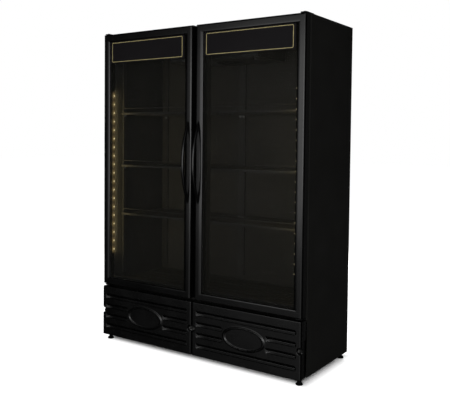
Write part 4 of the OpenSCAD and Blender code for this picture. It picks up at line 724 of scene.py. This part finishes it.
def kick_mesh(name, side):
    """The open sheet of a panel: its face, both round edges, the returns that run back and the lid.
    Both panels come from one mould, so the scoops are at the left of each."""
    (x0, x1), (front, back) = KICK_X, KICK_Y
    across = steps([(10, 1.4), (72, 5), (203, 1.3), (240, 2.2), (290, 4), (436, 2.2), (496, 1.6),
                    (550, 5), (672, 1.2), (x1 - OUTER, 1)])
    across = across if side > 0 else [HALF - x for x in reversed(across)]
    stops = [(top + k, step) for top in (113, 178, 243, 308) for k, step in (
        (-TROUGH - 1, 0.9), (2.6 - TROUGH, 2.2), (-SLOT, 1.4), (0, 2.4))]
    heights = steps([(LOW, 4)] + stops + [(LID - 1, 1)]) + [353.2, 354.4, 355.5, 356.4, LID + ROLL]
    # Where the sheet runs, seen from above; the last value says whether the relief shows there
    plan = [(x0, y, 0) for y in (back, -250, -266)]
    plan += [(x0 + INNER - INNER * cos(a), front + INNER - INNER * sin(a), 1)
             for a in (0, 0.25, 0.5, 0.75, 1.0, 1.25, 1.45)]
    plan += [(x, front, 1) for x in across if 12 < x < x1 - OUTER]
    plan += [(x1 - OUTER + OUTER * sin(a), front + OUTER - OUTER * cos(a), 1)
             for a in (0.0, 0.18, 0.36, 0.54, 0.72, 0.9, 1.1, 1.3)]
    plan += [(x1, y, y < -258) for y in (-270, -266, -262, -259, -257.5, -248, back)]
    out = []
    for i in range(len(plan)):
        a, b = plan[max(i - 1, 0)], plan[min(i + 1, len(plan) - 1)]
        way = Vector((b[0] - a[0], b[1] - a[1])).normalized()
        out.append(Vector((way.y, -way.x)))
    w, points, faces = len(plan), [], []
    at = [x if side > 0 else HALF - x for x, _, _ in plan]
    for z in heights:
        rolled = ROLL - sqrt(max(ROLL ** 2 - max(z - LID, 0) ** 2, 0))
        for i, ((x, y, face), n) in enumerate(zip(plan, out)):
            deep = rolled + (kick_relief(at[i], z) if face and z < LID else 0)
            # The outer return steps in below its upper part
            if x > x1 - 1 and y > -258 and z < 250:
                deep = 3
            points.append((x - n.x * deep, y - n.y * deep, z))
    for j in range(len(heights) - 1):
        for i in range(w - 1):
            spot = (at[i] + at[i + 1]) / 2, (heights[j] + heights[j + 1]) / 2
            if not (plan[i][2] and in_slot(*spot)):
                faces.append((j * w + i, j * w + i + 1, (j + 1) * w + i + 1, (j + 1) * w + i))
    faces.append(tuple(range((len(heights) - 1) * w, len(heights) * w)))
    # The hoods behind the slots and the open tops of the screw cups are painted shade, dark sheets
    # that keep those openings dark
    hoods = []
    for a, b, top in TROUGHS:
        a, b = (a, b + 4) if side > 0 else (HALF - a, HALF - b - 4)
        hoods.append(hood(a, b, -276.5, top + 0.5, top - 28))
    for x in CUP_X:
        x = x if side > 0 else HALF - x
        hoods.append(hood(max(x - 18, 3.5), min(x + 18, 716), -266, CUP_Z + 20, CUP_Z - 14))
    return mesh_of(name, [(points, faces)] + hoods, side)


for side, word in SIDES:
    shell = kick_mesh(word + "_kick_panel", side)
    # An open sheet can come out inside out, so its outside is set by its lid, which faces up
    if max(shell.polygons, key=lambda face: face.center.z).normal.z < 0:
        shell.flip_normals()
    settle(word + "_kick_panel_moulding", shell, kick_abs, "black_abs", word + "_kick_panel",
           sharp=42, wall=WALL)

# Feet. Bell-shaped feet in black rubber, moulded round a steel stud that screws into the base and
# levels the cabinet.
# Dead black with hardly a highlight
foot_rubber = finish(
    "moulded_foot_rubber", "#040404", "#080808", 15, (0.55, 0.7), 0.6, 0.03, shine=0.03)
bell = [(17, 0), (18.6, 0.3), (19.7, 1.4), (20, 3), (20, 6), (19.4, 8), (17.4, 10), (14.4, 12.6),
        (11.8, 16), (10.3, 20.5), (9.6, 26), (9.4, 32), (9.4, 36.8), (8.8, 37.6), (5, 37.8),
        (5, 90), (4, 91)]
for node in ("front_left_foot", "front_right_foot", "rear_left_foot", "rear_right_foot"):
    low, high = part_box(node)
    middle = ((low.x + high.x) / 2 / mm, (low.y + high.y) / 2 / mm, 0)
    settle(node + "_bell", [turned(bell, middle)], foot_rubber, "foot_rubber", node, body=node,
           sharp=40)

# Hinges. Plates of 4.5 mm steel under black enamel: the upper ones are screwed to the roof and hold
# a pin that points down into the door, the lower ones are angles on the cabinet's front.
# Black like the doors but duller, so the plates stay in the background
hinge_steel = finish(
    "enamelled_hinge_steel", "#0c0c0c", "#121212", 20, (0.35, 0.5), 0.7, 0.01, shine=0.05)
PLATE, PLATE_HALF, PLATE_Y = 4.5, 19, -267  # thickness, half the width and front edge
PIN = (702, -252)  # axis of the pins


def round_outline(x0, x1, z0, z1, r, count=8):
    """Outline of a rectangle with round corners."""
    out = []
    for cx, cz, start in ((x1 - r, z1 - r, 0), (x0 + r, z1 - r, 90), (x0 + r, z0 + r, 180),
                          (x1 - r, z0 + r, 270)):
        for a in [radians(start + 90 * k / count) for k in range(count + 1)]:
            out.append((cx + r * cos(a), cz + r * sin(a)))
    return out


upper, lower = [], []
for s in (1, -1):
    pin, a, b = (s * PIN[0], PIN[1], 0), s * 701, s * 698
    (a0, a1), (b0, b1) = ((v - PLATE_HALF, v + PLATE_HALF) for v in (a, b))
    upper += [prism(round_outline(a0, a1, PLATE_Y, -170, 7), 2, 2000.2, 2000.2 + PLATE),
              turned([(5, 1973), (5, 1998.2), (9, 1998.3), (9, 2001)], pin),
              turned([(7.5, 2004), (7.5, 2006.8), (6.6, 2007.8), (5, 2008)], pin)]
    lower += [prism(round_outline(b0, b1, PLATE_Y, -216.2, 6), 2, 363.75, 363.75 + PLATE),
              block(b0, b1, -219.2, -216.2, 346, 366),
              turned([(9, 364.7), (9, 372.7), (5, 372.7), (5, 398)], pin)]
settle("upper_hinge_plates", upper, hinge_steel, "hinge_steel", "top_hinge_brackets", edge=0.7,
       sharp=35)
screws("upper_hinge_screws", [(s * 701, y, 2006.2) for s in (1, -1) for y in (-202, -182)], 6, 3, 0)
settle("lower_hinge_plates", lower, hinge_steel, "hinge_steel", "bottom_hinge_brackets", edge=0.7,
       sharp=35)

# Door frames. Extruded aluminium in satin black anodising, mitred at the corners: a flat front with
# a round outer edge that slopes in to a lip on the glass.
# A satin sheen, drawn out along the extrusion, that shows the soft lamps as long grey bands
frame_black = finish("satin_black_anodising", "#020202", "#040404", 300, (0.21, 0.25), 0.5, 0.004,
                     shine=0.21, stretch=(1, 1, 0.15))
DOOR_X, DOOR_Z, DOOR_REAR = (14, 722), (373, 1998), -228  # the right door's edges, and its rear
FRAME_DEEP, FRAME_R = 48, 12  # depth of the frame, and radius of its outer edge
profile = [(0, 0), (0, FRAME_DEEP - FRAME_R)]
profile += [(FRAME_R - FRAME_R * cos(a), FRAME_DEEP - FRAME_R + FRAME_R * sin(a))
            for a in [radians(10 * k) for k in range(1, 9)]]
profile += [(12, 48), (29.5, 48), (33.5, 47.86), (37.5, 47.5), (41.5, 46.9), (45, 46.2),
            (47.4, 45.4), (49.6, 44.2), (51.3, 41.9), (51.8, 38.2), (40, 38.2), (40, 21.8),
            (50, 21.8), (50, 0)]


def mitred(section, x, z, widths, wide, gap):
    """Four lengths of one section round an opening. widths are those of the sides, top and bottom,
    and wide is the section's own; gap is left at each mitre. The slopes of top and bottom are
    steeper, and the bottom one has a tighter outer edge."""
    (x0, x1), (z0, z1) = x, z
    sides, top, bottom = (w / wide for w in widths)
    shapes = []
    for run in ("low", "high", "left", "right"):
        points = []
        for far in (0, 1):
            for s, d in section:
                left, right = x0 + s * sides, x1 - s * sides
                level = 40 + (s - 28.5) * 0.51 if s > 28.5 and d > 30 and s != 40 else s
                low = z0 + level * bottom * (0.35 if 0 < s < 13 else 1)
                high = z1 - level * top
                at = {"left": left, "right": right}.get(run, right - gap if far else left + gap)
                up = {"low": low, "high": high}.get(run, high - gap if far else low + gap)
                points.append((at, DOOR_REAR - d, up))
        shapes.append((points, capped(2, len(section))))
    return shapes


def on_doors(suffix, shapes, coat, slot, node="", **options):
    """A piece on each door: shapes are those of the right one, and mirrored they make the left."""
    for side, word in SIDES:
        nodes = [word + node] if node else []
        settle(word + suffix, shapes, coat, slot, *nodes, body=word + "_door", side=side, **options)


on_doors("_door_profiles", mitred(profile, DOOR_X, DOOR_Z, (52, 50, 44), 52, 0.12), frame_black,
         "frame_black", "_door_frame", sharp=32)

# Glass. Two panes of low-reflection float glass with ground edges in each door, parted by a spacer
# of mill-finish aluminium.
PANE, PANE_Y = 4, (-266, -254)  # thickness and front faces


def even(name, **sockets):
    """A surface that is the same all over. A socket's name is written with _ for each space."""
    material = bpy.data.materials.new(name)
    material.use_nodes = True
    shader = material.node_tree.nodes["Principled BSDF"]
    for key, value in sockets.items():
        shader.inputs[key.replace("_", " ")].default_value = value
    return material


# Almost clear; its faint grey veil is partly its weak real reflection of the room and partly
# painted reflection in its grey colour
pane_glass = even("low_reflection_glass", Base_Color=linear("#1e1e1c"), Roughness=0.06, Alpha=0.1,
                  Specular_IOR_Level=0.01)
# A thin pale line between the panes where it isn't hidden by the frame
spacer_metal = finish(
    "mill_finish_aluminium", "#8a8c8d", "#9a9c9d", 60, (0.35, 0.5), 0.4, 0.01, metal=1.0)
on_doors("_panes", [block(54.2, 681.8, y, y + PANE, 407, 1959.3) for y in PANE_Y], pane_glass,
         "door_glass", "_door_glass", edge=0.6)
dress(spacer_metal, "right_glass_spacer", "left_glass_spacer")

# Gaskets. Soft black PVC with a bellows and a magnet strip, pushed into the rear of each frame and
# mitred at its corners.
# A dull, very dark grey rim behind the glass
gasket_rubber = finish(
    "soft_black_pvc", "#191919", "#1f1f1f", 60, (0.5, 0.6), 0.8, 0.01, shine=0.15)
bellows = [(0, 0), (0, 2), (1.6, 3.4), (2.2, 5), (1.2, 6.6), (0, 7.8), (0, 11.2), (14, 11.2),
           (14, 7.8), (12.8, 6.6), (11.8, 5), (12.4, 3.4), (14, 2), (14, 0)]
on_doors("_gasket", mitred([(s, -0.2 - d) for s, d in bellows], (38, 698), (397, 1974),
                           (14, 14, 14), 14, 0), gasket_rubber, "gasket_rubber", "_door_gasket")

# Handles. Bow handles moulded in glossy black plastic on a steel core, screwed to the inner stile
# of each door.
# The glossiest black of all: one narrow bright line runs along each bow
handle_gloss = finish(
    "glossy_black_plastic", "#030303", "#050505", 60, (0.14, 0.2), 3, 0.004, shine=0.2)


def bow(reach=62, length=486, middle=1188, thick=16, x=38, count=24, turns=56):
    """A circular bow between two feet, wider in its middle, with a rounded rectangle as section."""
    outer = ((length / 2) ** 2 + reach ** 2) / (2 * reach)
    r, half = outer - thick / 2, asin(length / 2 / outer)
    points = []
    for i in range(turns + 1):
        a = (half + 0.02) * (2 * i / turns - 1)
        wide = 18 - 3 * (abs(a) / half) ** 2.5
        for k in range(count):
            q = 2 * pi * k / count
            c, s = cos(q), sin(q)
            w = wide / 2 * copysign(abs(c) ** 0.62, c)
            t = thick / 2 * copysign(abs(s) ** 0.62, s)
            points.append((x + w, DOOR_REAR - FRAME_DEEP - reach + thick / 2
                           + r * (1 - cos(a)) - cos(a) * t,
                           middle + r * sin(a) + sin(a) * t))
    return points, capped(turns + 1, count)


on_doors("_bow", [bow()], handle_gloss, "handle_gloss", "_door_handle", sharp=60)

# Header signs. A plate of dark charcoal acrylic stands on the glass of each door, with a gold line
# printed round it near its edge.
# A flat charcoal with a faint violet cast that is lighter than the glass under it
sign_charcoal = finish(
    "charcoal_acrylic", "#100f10", "#131213", 300, (0.3, 0.38), 0.7, 0.004, shine=0.015)
# A dull, pale gold line without metallic glitter
gold_print = finish(
    "printed_gold_line", "#7c7250", "#8d8359", 40, (0.4, 0.5), 0.5, 0.005, shine=0.2)
on_doors("_header_plate", [prism(round_outline(72, 664, 1810, 1948, 8), 1, -273, -266.2)],
         sign_charcoal, "sign_charcoal", "_header_sign", edge=0.5)
outer = round_outline(86, 650, 1817, 1941, 8)
inner = round_outline(89.4, 646.6, 1820.4, 1937.6, 4.6)
rows = ((outer, -273.8), (inner, -273.8), (inner, -272.9), (outer, -272.9))
border = [(x, y, z) for line, y in rows for x, z in line]
on_doors("_gold_line", [(border, skin(4, len(outer), True))], gold_print, "sign_charcoal")

# Lamp strips. A channel of smoked plastic is clipped behind the glass at each door's hinge side,
# with warm white LED chips in a row.
CHIPS, CHIP_STEP, STRIP_Z = 19, 55.7, 1103  # number, distance and middle of the chips
# Smoked plastic with a painted warm glow round each chip that fades with the distance from it; the
# plastic itself is no lamp
channel_plastic = finish(
    "smoked_channel_plastic", "#151413", "#1b1a18", 50, (0.35, 0.45), 0.6, 0.01, shine=0.05)
tree = channel_plastic.node_tree
spot = add(tree, "TexCoord").outputs["Object"]
height = add(tree, "SeparateXYZ", {0: spot}).outputs[2]
away = add(tree, "Math", {0: height, 1: STRIP_Z * mm}, operation="SUBTRACT")
away = add(tree, "Math", {0: away, 1: CHIP_STEP * mm / 2}, operation="PINGPONG")
painted_glow_spread = add(tree, "MapRange", {
    "Value": away, "From Max": CHIP_STEP * mm / 2, "To Min": 0.22, "To Max": 0.035},
             interpolation_type="SMOOTHSTEP")


def glow_of(material, colour, strength):
    """Makes a finished surface glow in a colour with the strength that a socket gives."""
    tree = material.node_tree
    shader = next(n for n in tree.nodes if n.type == "BSDF_PRINCIPLED")
    shader.inputs["Emission Color"].default_value = linear(colour)
    tree.links.new(strength, shader.inputs["Emission Strength"])


# The channel's painted glow, strongest at each chip
glow_of(channel_plastic, "#ffd98c", painted_glow_spread.outputs[0])
# Small warm-white lights that are brighter than all round them but not dazzling
chip_light = even("warm_led_chip", Base_Color=linear("#e8dcae"), Emission_Color=linear("#ffedc0"),
                  Emission_Strength=0.7)
on_doors("_lamp_channel", [block(659.8, 671.8, -247, -235, 573, 1633)], channel_plastic,
         "lamp_white", "_lamp_strip", edge=0.8)
on_doors("_lamp_chips", [turned([(5.5, 0), (5.5, -1.2), (4.4, -2.6), (2.2, -3.4)], (
    659.9, -242, STRIP_Z + (i - CHIPS // 2) * CHIP_STEP), 0, 16) for i in range(CHIPS)],
         chip_light, "lamp_white")

# Studio. A pale floor under an even white room; soft lamps in front of the cabinet draw the long
# highlights on the frames, the bows and the kick panels, and one behind it lightens its rear.
plain_floor = finish("pale_studio_floor", "#e6e6e6", "#eaeaea", 900, (0.6, 0.7), 5, 0.01, shine=0.1)
FLOOR = 30000  # half its width
AIM = Vector((0.1, -0.25, 1.1))  # where the large lamps point
# SHADE is the floor's glow inside the painted contact shadow round the cabinet
SHADE, GLOW = 0.03, 0.85  # glow of the floor near the cabinet and far from it


def seen_in(tree, *kinds):
    """1 where a ray of one of some kinds arrives, otherwise 0."""
    ray = add(tree, "LightPath")
    level = ray.outputs[kinds[0]]
    for kind in kinds[1:]:
        level = add(tree, "Math", {0: level, 1: ray.outputs[kind]}, operation="MAXIMUM")
    return level


tree = plain_floor.node_tree
seen = seen_in(tree, "Is Camera Ray", "Is Glossy Ray", "Is Transmission Ray")
# The glow that makes the floor white fades out over a band round the cabinet's footprint, so that
# its real shadow stays there; the band is darker wherever it lies, a painted contact shadow on top
# of the real one
spot = add(tree, "TexCoord").outputs["Object"]
spot = add(tree, "SeparateXYZ", {0: spot})
shadow_fades = []
for axis, middle, half, reach, blend in ((0, 0.0, 0.68, 0.075, "LINEAR"),
                                         (1, 0.075, 0.27, 0.08, "SMOOTHSTEP")):
    far = add(tree, "Math", {0: spot.outputs[axis], 1: middle}, operation="SUBTRACT")
    far = add(tree, "Math", {0: far}, operation="ABSOLUTE")
    shadow_fades.append(add(tree, "MapRange", {
        "Value": far, "From Min": half, "From Max": half + reach, "To Min": SHADE,
        "To Max": GLOW}, interpolation_type=blend))
painted_shadow_fade = add(tree, "Math", {0: shadow_fades[0], 1: shadow_fades[1]}, operation="MAXIMUM")
glow = add(tree, "Math", {0: seen, 1: painted_shadow_fade}, operation="MULTIPLY")
glow_of(plain_floor, "#ffffff", glow.outputs[0])
corners = [(-FLOOR, -FLOOR, 0), (FLOOR, -FLOOR, 0), (FLOOR, FLOOR, 0), (-FLOOR, FLOOR, 0)]
floor = new_object("studio_floor", mesh_of("studio_floor", [(corners, [(0, 1, 2, 3)])]))
floor.data.materials.append(plain_floor)
# Gloss shows the room in its own levels, below the horizon too
floor.visible_glossy = False

world = bpy.data.worlds.new("studio_room")
scene.world = world
world.use_nodes = True
tree = world.node_tree
tree.nodes.clear()
# Gloss shows a weak light from behind the cabinet, the bright side that the main lamps stand on,
# and otherwise a dark room; the camera sees white, and the rest is an even fill
FILL = 0.25
way = add(tree, "TexCoord").outputs["Generated"]
levels = []
for aim, high, top in (((-0.174, 0.985, 0.0), 0.95, 0.13), ((0.087, -0.992, 0.087), 0.92, 1.0)):
    toward = add(tree, "VectorMath", {0: way, 1: aim}, operation="DOT_PRODUCT")
    levels.append(add(tree, "MapRange", {
        "Value": toward.outputs["Value"], "From Min": 0.7, "From Max": high, "To Max": top}))
mirrored = add(tree, "Math", {0: levels[0], 1: levels[1]}, operation="MAXIMUM")
level = add(tree, "Mix", {"Factor": seen_in(tree, "Is Glossy Ray"), "A": FILL, "B": mirrored})
level = add(tree, "Math", {
    0: level, 1: seen_in(tree, "Is Camera Ray", "Is Transmission Ray")}, operation="MAXIMUM")
room = add(tree, "Background", {"Color": linear("#ffffff"), "Strength": level})
add(tree, "OutputWorld", {"Surface": room})


def area_lamp(name, wide, high, energy, spot, way):
    """A rectangular lamp at a place in metres, and the way it shines."""
    box = bpy.data.lights.new(name, "AREA")
    box.shape, box.size, box.size_y, box.energy = "RECTANGLE", wide, high, energy
    lamp = new_object(name, box)
    lamp.location = spot
    lamp.rotation_euler = Vector(way).to_track_quat("-Z", "Y").to_euler()
    return lamp


for name, wide, high, energy, spot in (("main_softbox", 2.0, 2.3, 46, (-0.8, -3.9, 1.42)),
                                       ("left_fringe", 0.8, 2.1, 4.6, (-2.2, -3.9, 1.3)),
                                       ("right_softbox", 3.4, 1.9, 125, (2.0, -4.1, 1.5)),
                                       ("rear_fill", 2.0, 2.0, 150, (-1.2, 3.6, 2.0))):
    lamp = area_lamp(name, wide, high, energy, spot, AIM - Vector(spot))
    # The lamp behind the cabinet is mirrored nowhere
    lamp.visible_camera = lamp.visible_glossy = name != "rear_fill"
for side, _ in SIDES:
    # The light that the rows of chips throw on the shelves, which the camera doesn't see as a lamp
    strip = area_lamp("strip_light", 0.01, 1.06, 3, (side * 0.655, -0.236, STRIP_Z * mm),
                      (-side * 0.3, 0.95, 0))
    strip.data.color = linear("#ffe7a6")[:3]
    strip.visible_camera = strip.visible_glossy = False

scene.view_settings.view_transform = "Standard"
